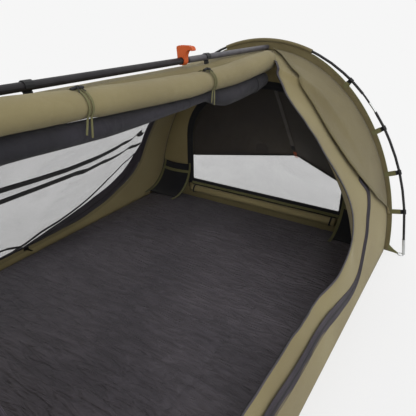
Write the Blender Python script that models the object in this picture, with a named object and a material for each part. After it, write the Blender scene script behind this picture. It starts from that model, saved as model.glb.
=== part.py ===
# Dome swag: a canvas bedroll shelter held up by two hoops and a ridge tube.
# Metres, +Z up, +X to the head end, origin in the middle of the tub's underside.

import math

import bmesh
import bpy
import numpy as np

# Canvas body
half_length = 1.028  # from the middle to the seam at a hoop
half_width = 0.75  # outer face of the side canvas at the ground
body_height = 0.955  # crown of the canvas between the hoops
end_height = 0.990  # crown of the canvas at the hoops
rise_gaps = (0.228, 0.038)  # from the end to where the crown starts and stops its climb
canvas = 0.003
hem_lift = 0.001
floor_thickness = 0.004
gap = 0.0003  # between pieces that touch
slack = 0.0006  # between the edges of two sheets, and round a pole

# Seam band at each hoop
band_thickness = 0.005
band_reach = 0.020  # how far it stands out of the wall
seam_lap = 0.005  # how far its inner edge lies below the roof
tab_width = 0.025
foot_tab_low = 0.002
sleeve_half_span = 0.244
sleeve_wall = 0.0022

# End walls
wall_rise = 0.019  # how far they stand above the roof
window_half_width = 0.50
window_sill = 0.15
window_shoulder = 0.4545
window_top = 0.80
window_net = 0.0015

# Hoops
pole_radius = 0.00625
hoop_spread = 0.084  # how far they stand out of the end walls
hoop_lift = 0.026
foot_flare = 0.017
flare_height = 0.20
foot_height = 0.011
insert_radius = 0.0045
insert_shown = 0.107
insert_depth = 0.030
joint_height_share = 0.744
tip_radius = 0.0075
tip_length = 0.085
tip_seat = 0.030
pin_radius = 0.0025
pin_length = 0.026
ring_radius = 0.014
ring_wire = 0.0022
ring_drop = 0.0018
clip_height_shares = (0.8377, 0.6348, 0.4348, 0.2396)

# Clips
clip_wall = 0.0028
clip_length = 0.022
clip_reach = 0.018
clip_neck = 0.005

# Ridge tube
ridge_drop = 0.035  # below the top of the hoops
ridge_radius = 0.0125
ridge_wall = 0.0015
ridge_joint = 0.30
spigot_length = 0.060
ridge_clip_place = 0.437
ridge_clip_length = 0.028
ridge_clip_wall = 0.0032
collar_place = 0.268
collar_length = 0.033
collar_wall = 0.004
collar_tab_rise = 0.040
collar_tab_width = 0.008
collar_lip = 0.012
collar_tab_share = 0.6

# Roof strip and rolled doors
strip_half = 0.05
strip_drop = 0.0275  # below the ridge tube, and at its ends
strip_end_drop = 0.016
strip_rise = (0.45, 0.55)
strip_step = 0.009
strip_lean_degrees = 127
roll_radius = 0.0485
roll_pinch = 0.004
roll_settle = 0.0012  # two rolls meet on their flats, closer than two rounds
strip_settle = 0.0008
near_roll_side = 0.072
near_roll_drop = 0.0195
near_roll_gaps = (0.098, 0.183)  # from the foot and the head end
tie_place = 0.32
tie_width = 0.024
tie_thickness = 0.002
pinch_reach = 0.05
net_roll_side = 0.06
net_roll_radius = 0.040
net_roll_gaps = (0.108, 0.228)
net_roll_slump = 0.007
net = 0.001
far_net_gaps = (0.083, 0.232)
far_net_top = 0.03
far_net_drop = 0.009
far_roll_gaps = (0.128, 0.328)
far_roll_drop_share = 0.15
far_roll_clear = 0.006
net_bulge = (0.03, 0.14)
net_bulge_reach = (0.10, 0.80)

# Mattress
mattress_gaps = (0.038, 0.009)  # to the end walls and to the sides
mattress_edge = 0.074
mattress_crown = 0.006
mattress_seam_side = 0.42
mattress_seam_depth = 0.003
mattress_seam_width = 0.014
mattress_roundness = 0.010
mattress_draw = 0.004
mattress_side_shares = ((0.25, 0.88), (0.0, 0.55), (0.1, 0.15), (0.4, 0.0))

# Head end furniture
sill_roll_radius = 0.0225
sill_roll_half = 0.48
sill_roll_height = 0.105
sill_roll_shares = ((-1.0, 0.8), (-0.97, 1.0), (-0.5, 1.0), (0.0, 1.0), (0.5, 1.0), (0.97, 1.0), (1.0, 0.8))
pocket_inner = 0.50
pocket_low = 0.86
pocket_high = 0.258
pocket_mouth = 0.0225
pocket_cloth = 0.0025

# Window hood
hood_half_width = 0.505
hood_low = 0.32
hood_rise = 0.61
hood_out = 0.563
hood_tip_height = 0.246
hood_crease = 0.015
hood_start_degrees = 4
hood_corner_share = 0.04
strap_width = 0.024
strap_thickness = 0.002
strap_start = 0.012
strap_end = 0.11
loop_radius = 0.010
loop_wire = 0.0016

# Zip sliders
slider_length = 0.030
slider_width = 0.012
slider_thickness = 0.005
pull_length = 0.045
pull_width = 0.008
pull_thickness = 0.0015
pull_lean_share = 0.15
far_slider_place = -0.08
edge_chord_share = 0.9
slider_corner_shares = ((-0.5, -0.5), (0.3, -0.5), (0.5, -0.2), (0.5, 0.2), (0.3, 0.5), (-0.5, 0.5))

# Openings in the sides: share of the half length, share of the way up the side,
# and how far the free edge is drawn in, as a share of the half width
near_edge_shares = (
    (-1.0, 1.0, 0.0),
    (-0.934, 1.0, 0.0),
    (-0.929, 0.745, 0.0),
    (-0.919, 0.547, 0.0),
    (-0.905, 0.366, 0.01),
    (-0.8755, 0.235, 0.03),
    (-0.8366, 0.1815, 0.047),
    (0.1167, 0.1815, 0.047),
    (0.350, 0.277, 0.0),
    (0.4475, 0.3995, 0.0),
    (0.535, 0.491, 0.061),
    (0.6128, 0.5835, 0.105),
    (0.6955, 0.704, 0.110),
    (0.7393, 0.7865, 0.0795),
    (0.778, 0.892, 0.0),
    (0.8317, 0.925, 0.0),
    (0.8342, 1.0, 0.0),
    (1.0, 1.0, 0.0),
)
far_edge_shares = (
    (-1.0, 1.0, 0.0),
    (-0.934, 1.0, 0.0),
    (-0.929, 0.745, 0.0),
    (-0.919, 0.547, 0.0),
    (-0.905, 0.366, 0.0),
    (-0.8755, 0.20, 0.0),
    (-0.8366, 0.0711, 0.0),
    (0.0078, 0.0711, 0.0),
    (0.3453, 0.0852, 0.0),
    (0.5418, 0.1239, 0.0),
    (0.7344, 0.2219, 0.0),
    (0.7588, 0.3026, 0.0),
    (0.7733, 0.4515, 0.0),
    (0.7782, 0.66, 0.0),
    (0.7811, 1.0, 0.0),
    (1.0, 1.0, 0.0),
)

# Mesh counts
pole_sides = 10
roll_sides = 14
side_rows = 10
hoop_steps = 36

# Derived sizes and places
rise_start = half_length - rise_gaps[0]
rise_end = half_length - rise_gaps[1]
seam_crown = end_height - seam_lap
wall_half_width = half_width
wall_height = end_height + wall_rise
hoop_half_width = wall_half_width + hoop_spread
hoop_height = wall_height + hoop_lift
joint_height = hoop_height * joint_height_share
clip_heights = [hoop_height * share for share in clip_height_shares]
ridge_height = hoop_height - ridge_drop
strip_height = ridge_height - strip_drop
strip_end_height = ridge_height - strip_end_drop
near_roll_height = strip_height - near_roll_drop
near_roll_ends, net_roll_ends, far_net_ends, far_roll_ends = (
    (foot - half_length, half_length - head)
    for foot, head in (near_roll_gaps, net_roll_gaps, far_net_gaps, far_roll_gaps))
mattress_half_length = half_length - mattress_gaps[0]
mattress_half_width = half_width - mattress_gaps[1]
near_slider_place = slider_length / 2 + slack - rise_start
band_face = half_length + gap
hoop_plane = band_face + band_thickness / 2
wall_face = band_face + band_thickness + gap
top_angle = math.acos(strip_half / half_width)
sleeve_bore = pole_radius + slack + gap
clip_bore = pole_radius + slack


def clear_scene():
    for shape in list(bpy.data.objects):
        bpy.data.objects.remove(shape)


def paint(name, colour, roughness, metallic=0.0):
    material = bpy.data.materials.new(name)
    material.use_nodes = True
    shader = material.node_tree.nodes["Principled BSDF"]
    shader.inputs["Base Color"].default_value = (*colour, 1.0)
    shader.inputs["Roughness"].default_value = roughness
    shader.inputs["Metallic"].default_value = metallic
    return material


def solid(name, points, faces, material, pivot=(0.0, 0.0, 0.0)):
    """A closed mesh given in world coordinates, with its origin on the pivot."""
    mesh = bpy.data.meshes.new(name)
    mesh.from_pydata([tuple(point) for point in np.asarray(points, float) - pivot], [], faces)
    shell = bmesh.new()
    shell.from_mesh(mesh)
    bmesh.ops.recalc_face_normals(shell, faces=shell.faces)
    shell.to_mesh(mesh)
    shell.free()
    mesh.materials.append(material)
    shape = bpy.data.objects.new(name, mesh)
    shape.location = pivot
    bpy.context.scene.collection.objects.link(shape)
    return shape


def smooth(shape, angle=40.0):
    shape.data.shade_smooth()
    shape.data.set_sharp_from_angle(angle=math.radians(angle))
    return shape


def loft(name, rings, material, closed=False, pivot=(0.0, 0.0, 0.0)):
    """Joins rings of as many points each; the two end rings are capped unless the loft is closed."""
    size = len(rings[0])
    points = [point for ring in rings for point in ring]
    faces = []
    for i in range(len(rings) if closed else len(rings) - 1):
        here, there = i * size, (i + 1) % len(rings) * size
        for j in range(size):
            k = (j + 1) % size
            faces.append((here + j, here + k, there + k, there + j))
    if not closed:
        faces.append(tuple(range(size))[::-1])
        faces.append(tuple(range(len(points) - size, len(points))))
    return smooth(solid(name, points, faces, material, pivot))


def sheet(name, grid, thickness, material, outward):
    """Cloth through rows of points, thickened on the side away from the outward direction."""
    rows, columns = len(grid), len(grid[0])
    points = [point for row in grid for point in row]
    faces = []
    for i in range(rows - 1):
        for j in range(columns - 1):
            corner = i * columns + j
            faces.append((corner, corner + 1, corner + columns + 1, corner + columns))
    mesh = bpy.data.meshes.new(name)
    mesh.from_pydata([tuple(point) for point in points], [], faces)
    middle = mesh.polygons[len(faces) // 2]
    if middle.normal.dot(outward) < 0:
        mesh.flip_normals()
    mesh.materials.append(material)
    shape = bpy.data.objects.new(name, mesh)
    bpy.context.scene.collection.objects.link(shape)
    shape.data.shade_smooth()
    wall = shape.modifiers.new("thickness", "SOLIDIFY")
    wall.thickness = thickness
    wall.offset = -1.0
    wall.use_even_offset = True
    return shape


def combine(shape, other, operation):
    """Boolean of a shape with a hidden helper."""
    other.hide_render = True
    other.display_type = "WIRE"
    step = shape.modifiers.new(operation.lower(), "BOOLEAN")
    step.operation = operation
    step.object = other
    step.solver = "EXACT"


def prism(name, outline, place, start, end, material, pivot=(0.0, 0.0, 0.0)):
    """A flat outline of (a, b) pairs drawn out from start to end; place turns them into a point."""
    rings = [[place(a, b, along) for a, b in outline] for along in (start, end)]
    return loft(name, rings, material, pivot=pivot)


def arc(radius, first, last, steps):
    """Points at a radius, by degrees from the second axis towards the first."""
    turns = np.radians(np.linspace(first, last, steps + 1))
    return [(radius * math.sin(turn), radius * math.cos(turn)) for turn in turns]


def ramp(x, reach):
    share = (x - reach[0]) / (reach[1] - reach[0])
    return min(1.0, max(0.0, share))


# Surfaces that several pieces follow


def crown_height(x):
    return body_height + (end_height - body_height) * ramp(abs(x), (rise_start, rise_end))


def edge_at(x, shares):
    """How far up the side the canvas goes at x, as an angle, and how far its edge is drawn in."""
    table = np.array(shares)
    up = np.interp(x / half_length, table[:, 0], table[:, 1])
    drawn = np.interp(x / half_length, table[:, 0], table[:, 2])
    return up * top_angle, drawn * half_width


def side_point(x, share, shares, side):
    """A point of the side canvas' outer face, from the hem, 0, to its upper edge, 1."""
    edge, drawn = edge_at(x, shares)
    low = math.asin(hem_lift / crown_height(x))
    angle = low + share * (edge - low)
    across = half_width * math.cos(angle) - drawn * share**3
    return np.array((x, side * across, crown_height(x) * math.sin(angle)))


def strip_crown(x):
    return strip_height + (strip_end_height - strip_height) * ramp(abs(x), strip_rise)


def far_net_point(x, share):
    """The far net's outer face, from under the roof strip, 0, to its zip, 1, and the way out there."""
    beyond = max(ramp(x, (far_roll_ends[1], rise_start)), ramp(-x, (-far_roll_ends[0], -far_net_ends[0])))
    roof = strip_crown(x) + (crown_height(x) * math.sin(top_angle) - strip_crown(x)) * beyond
    start = far_net_top + (strip_half - far_net_top) * beyond
    top = np.array((start, roof - canvas - far_net_drop))
    clear = 2 * slack
    edges = [side_point(x + shift, 1.0, far_edge_shares, 1)[1:] for shift in (-clear, 0.0, clear)]
    low = max(edges, key=lambda edge: edge[1])
    along = low - top
    length = np.hypot(*along)
    along = along / length
    out = np.array((-along[1], along[0]))
    low = low - along * (slack + net)
    bulge = net_bulge[0] + (net_bulge[1] - net_bulge[0]) * ramp(x, net_bulge_reach)
    even = 4 * share * (1 - share)
    lower = 27 / 4 * share**2 * (1 - share)
    swell = lower + (even - lower) * ramp(x, (far_roll_ends[1], rise_start))
    across, height = top + (low - top) * share + out * bulge * swell
    return np.array((x, across, height)), np.array((0.0, *out))


def far_places(ends):
    """Where the far net, its roll and the strip over it all have a row, so that they keep their gaps."""
    low, high = ends
    places = {low, high, -rise_start, *np.linspace(*far_roll_ends, 9)}
    places.update(share * half_length for share, *_ in far_edge_shares)
    for x in strip_rise:
        places.update((-x, x))
    return sorted(x for x in places if low <= x <= high)


def far_roll_centre(x):
    point, out = far_net_point(x, far_roll_drop_share)
    return point + out * (roll_radius + far_roll_clear)


def mattress_top(x, y):
    lengthwise = 1 - abs(x / mattress_half_length) ** 4
    crosswise = 1 - abs(y / mattress_half_width) ** 4
    channel = math.exp(-(((y + mattress_seam_side) / mattress_seam_width) ** 2))
    return mattress_edge + mattress_crown * lengthwise * crosswise - mattress_seam_depth * channel


# The tub and the cloth


def make_floor(material):
    reach, side = half_length + gap + band_thickness, half_width - canvas - gap
    corners = [(-reach, -side), (reach, -side), (reach, side), (-reach, side)]
    prism("tub_floor", corners, lambda a, b, c: (a, b, c), 0.0, floor_thickness, material)


def make_mattress(material):
    lengths = np.linspace(-1, 1, 15) * mattress_half_length
    widths = np.concatenate((np.linspace(-1, 1, 9) * mattress_half_width,
                             -mattress_seam_side + np.array((-1, 0, 1)) * mattress_seam_width))
    widths = np.sort(widths)
    rows, columns = len(lengths), len(widths)

    def plan(x, y, inset):
        along, across = x / mattress_half_length, y / mattress_half_width
        drawn = mattress_draw * (1 - along**2) * across
        corner = mattress_roundness * (abs(along * across)) ** 12
        return (x - along * inset - np.sign(x) * corner,
                y - across * inset - drawn - np.sign(y) * corner)

    points, faces = [], []
    for x in lengths:
        for y in widths:
            points.append((*plan(x, y, mattress_roundness), mattress_top(x, y)))
    for i in range(rows - 1):
        for j in range(columns - 1):
            corner = i * columns + j
            faces.append((corner, corner + columns, corner + columns + 1, corner + 1))
    border = [i * columns for i in range(rows)]
    border += [(rows - 1) * columns + j for j in range(1, columns)]
    border += [i * columns + columns - 1 for i in range(rows - 2, -1, -1)]
    border += [j for j in range(columns - 2, 0, -1)]
    above = border
    base = floor_thickness + gap
    for inset_share, height_share in mattress_side_shares:
        ring = []
        for index in border:
            x, y = lengths[index // columns], widths[index % columns]
            ring.append(len(points))
            height = base + height_share * (mattress_edge - base)
            points.append((*plan(x, y, mattress_roundness * inset_share), height))
        for k in range(len(border)):
            after = (k + 1) % len(border)
            faces.append((above[k], above[after], ring[after], ring[k]))
        above = ring
    faces.append(tuple(above))
    smooth(solid("mattress", points, faces, material))


def make_side(name, shares, side, material):
    places = {share * half_length for share, *_ in shares}
    places.update((-rise_end, -rise_start, rise_start, rise_end))
    longest = half_length / 8
    ordered = sorted(places)
    for low, high in zip(ordered, ordered[1:]):
        parts = math.ceil((high - low) / longest)
        places.update(low + (high - low) * k / parts for k in range(1, parts))
    grid = [[side_point(x, j / side_rows, shares, side) for j in range(side_rows + 1)]
            for x in sorted(places)]
    sheet(name, grid, canvas, material, (0, side, 0))


def window_outline(inset):
    half, top = window_half_width - inset, window_top - inset
    arch = np.linspace(0, math.pi, 25)
    points = [(half * math.cos(turn), window_shoulder + (top - window_shoulder) * math.sin(turn))
              for turn in arch]
    return points + [(-half, window_sill + inset), (half, window_sill + inset)]


def make_wall(name, end, window, material, net_material):
    def place(across, height, along):
        return (end * along, across, height)

    turns = np.linspace(0, math.pi, 37)
    outline = [(wall_half_width * math.cos(turn), hem_lift + (wall_height - hem_lift) * math.sin(turn))
               for turn in turns]
    wall = prism(name, outline, place, wall_face, wall_face + canvas, material)
    if not window:
        return
    cutter = prism("window_cutter", window_outline(0.0), place,
                   wall_face - canvas, wall_face + 2 * canvas, material)
    combine(wall, cutter, "DIFFERENCE")
    start = wall_face + (canvas - window_net) / 2
    prism("window_mesh", window_outline(gap), place, start, start + window_net, net_material)


def make_roof_strip(material):
    low, high = near_roll_ends
    far_low, far_high = far_roll_ends
    places = {-half_length, -rise_end, -rise_start, 0.0, rise_start, rise_end, half_length,
              low - strip_step, low - 2 * strip_step, high, high + 2 * slack, high + strip_step,
              far_low - 2 * slack, far_high + 2 * slack, far_net_ends[0] - strip_step}
    places.update(far_places(far_roll_ends))
    lean = math.radians(strip_lean_degrees)
    grid = []
    for x in sorted(places):
        crown = strip_crown(x)
        brow = crown_height(x) * math.sin(top_angle)
        if low - strip_step <= x <= high + 2 * slack:
            rise = crown - canvas - near_roll_height
            near = (math.sqrt((roll_radius + gap) ** 2 - rise**2) - near_roll_side, crown)
        else:
            near = (canvas / 2 - strip_half, brow)
        beyond = max(ramp(x, (far_high + 2 * slack, rise_start)),
                     ramp(-x, (2 * slack - far_low, strip_step - far_net_ends[0])))
        centre = far_roll_centre(min(max(x, far_low), far_high))
        reach = roll_radius + canvas - strip_settle
        by_roll = centre[1:] + reach * np.array((math.cos(lean), math.sin(lean)))
        far = by_roll + (np.array((strip_half - canvas / 2, brow)) - by_roll) * beyond
        row = [(x, *near), (x, near[0] / 2, crown + (near[1] - crown) / 4), (x, 0.0, crown)]
        start = min(far_net_top, far[0] / 2)
        for share in (0.0, 0.35, 0.7, 1.0):
            across = start + (far[0] - start) * share
            row.append((x, across, crown + (far[1] - crown) * share**2))
        grid.append(row)
    sheet("roof_strip", grid, canvas, material, (0, 0, 1))


def roll_ring(centre, radius):
    turns = np.linspace(0, 2 * math.pi, roll_sides, endpoint=False)
    x, y, z = centre
    return [(x, y + radius * math.cos(turn), z + radius * math.sin(turn)) for turn in turns]


def pinch_at(x):
    """How much of the tie's pinch a roll has at x."""
    away = abs(abs(x) - tie_place)
    return 1 - ramp(away, (tie_width / 2 + gap, tie_width / 2 + pinch_reach))


def roll_places(ends, count):
    places = set(np.linspace(*ends, count))
    for side in (-1, 1):
        for reach in (tie_width / 2 + gap, tie_width / 2 + pinch_reach):
            places.update((side * tie_place - reach, side * tie_place + reach))
    return sorted(places)


def make_rolls(canvas_material, net_material):
    rings = []
    for x in roll_places(near_roll_ends, 10):
        radius = roll_radius - roll_pinch * pinch_at(x)
        rings.append(roll_ring((x, -near_roll_side, near_roll_height), radius))
    loft("near_door_roll", rings, canvas_material)
    rings = []
    for x in far_places(far_roll_ends):
        rings.append(roll_ring(far_roll_centre(x), roll_radius))
    loft("far_door_roll", rings, canvas_material)
    rings = []
    for x in roll_places(net_roll_ends, 10):
        slump = net_roll_slump * ramp(x, (tie_place + pinch_reach, tie_place + 3 * pinch_reach))
        radius = net_roll_radius + slump - roll_pinch * pinch_at(x)
        rings.append(roll_ring(net_roll_centre(x, radius), radius))
    loft("near_mesh_roll", rings, net_material)


def net_roll_centre(x, radius):
    """The net's roll hangs against the underside of the canvas roll."""
    aside = near_roll_side - net_roll_side
    reach = roll_radius + gap + radius - roll_settle
    return (x, -net_roll_side, near_roll_height - math.sqrt(reach**2 - aside**2))


def make_tie(name, place, material):
    inner = roll_radius - roll_pinch + gap
    rings = []
    for radius, edge in ((inner, -1), (inner + tie_thickness, -1), (inner + tie_thickness, 1), (inner, 1)):
        x = place + edge * tie_width / 2
        rings.append(roll_ring((x, -near_roll_side, near_roll_height), radius))
    loft(name, rings, material, closed=True)


def make_far_net(material):
    shares = np.linspace(0, 1, 8)
    grid = [[far_net_point(x, share)[0] for share in shares] for x in far_places(far_net_ends)]
    sheet("far_mesh_door", grid, net, material, (0, 1, 1))


def make_sill_roll(material):
    centre = wall_face - gap - sill_roll_radius
    rings = []
    for share, radius_share in sill_roll_shares:
        radius = sill_roll_radius * radius_share
        turns = np.linspace(0, 2 * math.pi, roll_sides, endpoint=False)
        rings.append([(centre + radius * math.cos(turn), share * sill_roll_half,
                       sill_roll_height + radius * math.sin(turn)) for turn in turns])
    loft("window_sill_roll", rings, material)


def make_pocket(name, side, material):
    """Cloth that hangs in a hollow curve from the head wall down to the mattress."""
    grid = []
    base = mattress_edge + mattress_crown + gap + pocket_cloth
    reach = wall_face - gap - pocket_cloth - pocket_low
    for share in np.linspace(0, 1, 6):
        mouth = pocket_mouth * math.sin(math.pi * share)
        row = []
        for turn in np.radians(np.linspace(0, 90, 9)):
            x = pocket_low + (reach - mouth) * math.cos(turn)
            z = pocket_high - (pocket_high - base) * math.sin(turn)
            outer = half_width * math.sqrt(1 - (z / crown_height(x)) ** 2) - canvas - pocket_cloth
            row.append((x, side * (pocket_inner + (outer - pocket_inner) * share), z))
        grid.append(row)
    sheet(name, grid, pocket_cloth, material, (-1, 0, 1))


# The hoops


def hoop_point(turn, end):
    """A point of the hoop's centre line, from the near foot, 0, to the far one, pi."""
    height = hoop_height * math.sin(turn)
    flare = foot_flare * max(0.0, 1 - height / flare_height) ** 2
    across = hoop_half_width * math.cos(turn) + math.copysign(flare, math.cos(turn))
    return np.array((end * hoop_plane, -across, height))


def hoop_frame(turn, end):
    """The hoop's point, its direction and the way inwards, towards the canvas."""
    step = 1e-4
    along = hoop_point(turn + step, end) - hoop_point(turn - step, end)
    along = along / np.linalg.norm(along)
    inward = np.array((0.0, along[2], -along[1]))
    return hoop_point(turn, end), along, inward


def hoop_turn(length, at):
    """The angle that a length takes up on the hoop, near an angle."""
    return length / math.hypot(hoop_half_width * math.sin(at), hoop_height * math.cos(at))


foot_turn = math.asin(foot_height / hoop_height)
joint_turn = math.asin(joint_height / hoop_height)
joint_start = joint_turn - hoop_turn(insert_shown / 2, joint_turn)
joint_end = joint_turn + hoop_turn(insert_shown / 2, joint_turn)
insert_start = joint_start - hoop_turn(insert_depth, joint_start)
sleeve_turn = math.acos(sleeve_half_span / hoop_half_width)
tip_end = foot_turn + hoop_turn(tip_length, foot_turn)
tip_shelf = foot_turn + hoop_turn(tip_seat, foot_turn)
clip_turns = [math.asin(height / hoop_height) for height in clip_heights]


def hoop_stations():
    """The angles at which every piece along a hoop has a ring, so that nested pieces keep their gap."""
    marks = list(np.linspace(foot_turn, math.pi / 2, hoop_steps // 2 + 1))
    marks += [joint_start, joint_end, sleeve_turn, tip_end]
    for turn in clip_turns:
        reach = hoop_turn(clip_length / 2, turn)
        marks += [turn - reach, turn + reach]
    return sorted(set(marks) | {math.pi - mark for mark in marks})


def stations_between(first, last):
    return [first] + [turn for turn in hoop_stations() if first + 1e-6 < turn < last - 1e-6] + [last]


def hoop_rings(profile, end):
    """Rings round the hoop's line at (angle, radius) pairs."""
    rings = []
    for turn, radius in profile:
        centre, _, inward = hoop_frame(turn, end)
        angles = np.linspace(0, 2 * math.pi, pole_sides, endpoint=False)
        rings.append([centre + radius * (math.cos(a) * np.array((1.0, 0, 0)) + math.sin(a) * inward)
                      for a in angles])
    return rings


def mirrored(profile):
    return [(math.pi - turn, radius) for turn, radius in profile]


def make_hoop(label, end, black, silver):
    bore = insert_radius + gap
    bore_end = insert_start - hoop_turn(slack, insert_start)
    side_start = tip_shelf + hoop_turn(slack, tip_shelf)
    side = [(turn, pole_radius) for turn in stations_between(side_start, joint_start)]
    side += [(turn, bore) for turn in (joint_start, bore_end)]
    insert = [(turn, insert_radius) for turn in stations_between(insert_start, joint_end)]
    top = [(turn, pole_radius) for turn in stations_between(joint_end, math.pi - joint_end)]
    top = insert + top + mirrored(insert)[::-1]
    seat = pole_radius + slack
    narrow = pin_radius + slack
    tip = [(turn, tip_radius) for turn in stations_between(foot_turn, tip_end)]
    tip += [(turn, seat) for turn in stations_between(tip_shelf, tip_end)[::-1]]
    tip += [(tip_shelf, narrow), (foot_turn, narrow)]
    for name, profile, closed, material in (
        ("near_pole", side, False, black),
        ("far_pole", mirrored(side), False, black),
        ("top_pole", top, False, black),
        ("near_tip", tip, True, silver),
        ("far_tip", mirrored(tip), True, silver),
    ):
        loft(f"{label}_hoop_{name}", hoop_rings(profile, end), material, closed=closed)


def ellipse_hit(point, way, half, height):
    """How far along a way a point of the hoop's plane meets an upright ellipse."""
    a = (way[1] / half) ** 2 + (way[2] / height) ** 2
    b = 2 * (point[1] * way[1] / half**2 + point[2] * way[2] / height**2)
    c = (point[1] / half) ** 2 + (point[2] / height) ** 2 - 1
    return (-b - math.sqrt(b * b - 4 * a * c)) / (2 * a)


def foot_tab_end():
    """Where the foot tab ends, short of the ring that holds it."""
    return abs(hoop_point(foot_turn, 1)[1]) - 2 * ring_radius - ring_wire - gap


def make_band(name, end, material):
    """The webbing along a hoop seam, with its tabs and the sleeve over the top of the hoop."""
    start = math.asin(foot_tab_low / hoop_height)
    foot_top = math.asin((foot_tab_low + tab_width) / hoop_height)
    step = hoop_turn(slack, 0.0)
    marks = {start: "foot", foot_top: "foot", foot_top + step: "plain"}
    for turn in clip_turns:
        reach = hoop_turn(tab_width / 2, turn)
        marks.update({turn - reach - step: "plain", turn - reach: "tab", turn: "tab",
                      turn + reach: "tab", turn + reach + step: "plain"})
    marks.update({sleeve_turn - step: "plain"})
    for turn in hoop_stations():
        if turn > foot_top + step and turn <= math.pi / 2:
            near_tab = any(abs(turn - place) < hoop_turn(tab_width, place) for place in clip_turns)
            if not near_tab and turn >= sleeve_turn:
                marks.setdefault(turn, "sleeve")
            elif not near_tab:
                marks.setdefault(turn, "plain")
    half = sorted(marks.items())
    whole = half + [(math.pi - turn, kind) for turn, kind in half[::-1] if turn < math.pi / 2 - 1e-6]
    rings = []
    for turn, kind in whole:
        way = np.array((0.0, math.cos(turn) / hoop_half_width, -math.sin(turn) / hoop_height))
        way = way / np.linalg.norm(way)
        point = np.array((0.0, -hoop_half_width * math.cos(turn), hoop_height * math.sin(turn)))
        outer = ellipse_hit(point, way, wall_half_width + band_reach, wall_height + band_reach)
        if kind == "tab":
            outer = clip_reach + slack
        if kind == "sleeve":
            outer = sleeve_bore + sleeve_wall / 2
        if kind == "foot":
            outer = hoop_half_width - foot_tab_end()
        inner = ellipse_hit(point, way, half_width - canvas, seam_crown)
        ring = []
        for distance, face in ((outer, 0), (outer, 1), (inner, 1), (inner, 0)):
            x = band_face + face * band_thickness
            ring.append(np.array((end * x, 0.0, 0.0)) + point + way * distance)
        rings.append(ring)
    band = loft(name, rings, material)
    turns = [turn for turn in hoop_stations() if sleeve_turn - 1e-6 <= turn <= math.pi - sleeve_turn + 1e-6]
    profile = [(turn, sleeve_bore + sleeve_wall) for turn in turns]
    profile += [(turn, sleeve_bore) for turn in turns[::-1]]
    combine(band, loft(name + "_sleeve", hoop_rings(profile, end), material, closed=True), "UNION")


def hook_outline(bore, wall, reach, neck):
    """A hook round a bar, open on one side of the neck that reaches towards the cloth."""
    outer = bore + wall
    root = math.degrees(math.asin(neck / 2 / outer))
    outline = [(-neck / 2, reach), (neck / 2, reach)]
    outline += arc(outer, root, 285, 9)
    outline += arc(bore, 285, 0, 9)
    outline.append((-neck / 2, bore + wall))
    return outline


def make_clips(label, end, material):
    outline = hook_outline(clip_bore, clip_wall, clip_reach, clip_neck)
    for side, mirror in (("near", False), ("far", True)):
        for number, turn in enumerate(clip_turns, start=1):
            centre, along, inward = hoop_frame(math.pi - turn if mirror else turn, end)

            def place(across, reach, length, centre=centre, along=along, inward=inward):
                return centre + np.array((end * across, 0.0, 0.0)) + inward * reach + along * length

            prism(f"{label}_{side}_clip_{number}", outline, place,
                  -clip_length / 2, clip_length / 2, material, pivot=centre)


def make_foot_pins(label, end, material):
    for side, turn in (("near", foot_turn), ("far", math.pi - foot_turn)):
        foot, along, inward = hoop_frame(turn, end)
        if side == "far":
            along = -along
        start, finish = foot - along * (ring_wire + ring_drop), foot + along * pin_length
        across = np.array((1.0, 0.0, 0.0))
        rings = []
        for middle in (start, finish):
            angles = np.linspace(0, 2 * math.pi, 8, endpoint=False)
            rings.append([middle + pin_radius * (math.cos(a) * across + math.sin(a) * inward)
                          for a in angles])
        pin = loft(f"{label}_{side}_foot_pin", rings, material, pivot=foot)
        way = -1.0 if side == "near" else 1.0
        centre = np.array((end * hoop_plane, foot[1] - way * ring_radius, foot[2] - ring_wire - ring_drop))
        rings = []
        for a in np.linspace(0, 2 * math.pi, 16, endpoint=False):
            out = np.array((math.cos(a), math.sin(a), 0.0))
            rings.append([centre + out * (ring_radius + ring_wire * math.cos(b))
                          + np.array((0.0, 0.0, ring_wire * math.sin(b)))
                          for b in np.linspace(0, 2 * math.pi, 6, endpoint=False)])
        combine(pin, loft(f"{label}_{side}_ring", rings, material, closed=True, pivot=foot), "UNION")


# The ridge


def ridge_rings(profile):
    angles = np.linspace(0, 2 * math.pi, 16, endpoint=False)
    return [[(x, radius * math.cos(a), ridge_height + radius * math.sin(a)) for a in angles]
            for x, radius in profile]


def make_ridge(black):
    bore = ridge_radius - ridge_wall
    spigot = bore - gap
    spigot_bore = spigot - ridge_wall
    spigot_end = ridge_joint + spigot_length
    middle = [(-spigot_end, spigot), (-ridge_joint, spigot), (-ridge_joint, ridge_radius)]
    middle += [(-x, radius) for x, radius in middle[::-1]]
    middle += [(spigot_end, spigot_bore), (-spigot_end, spigot_bore)]
    loft("ridge_tube_mid", ridge_rings(middle), black, closed=True)
    for name, end in (("head", 1), ("foot", -1)):
        start, finish = ridge_joint + gap, half_length
        profile = [(end * x, radius) for x, radius in
                   ((start, ridge_radius), (finish, ridge_radius), (finish, bore), (start, bore))]
        loft(f"ridge_tube_{name}", ridge_rings(profile), black, closed=True)


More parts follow.
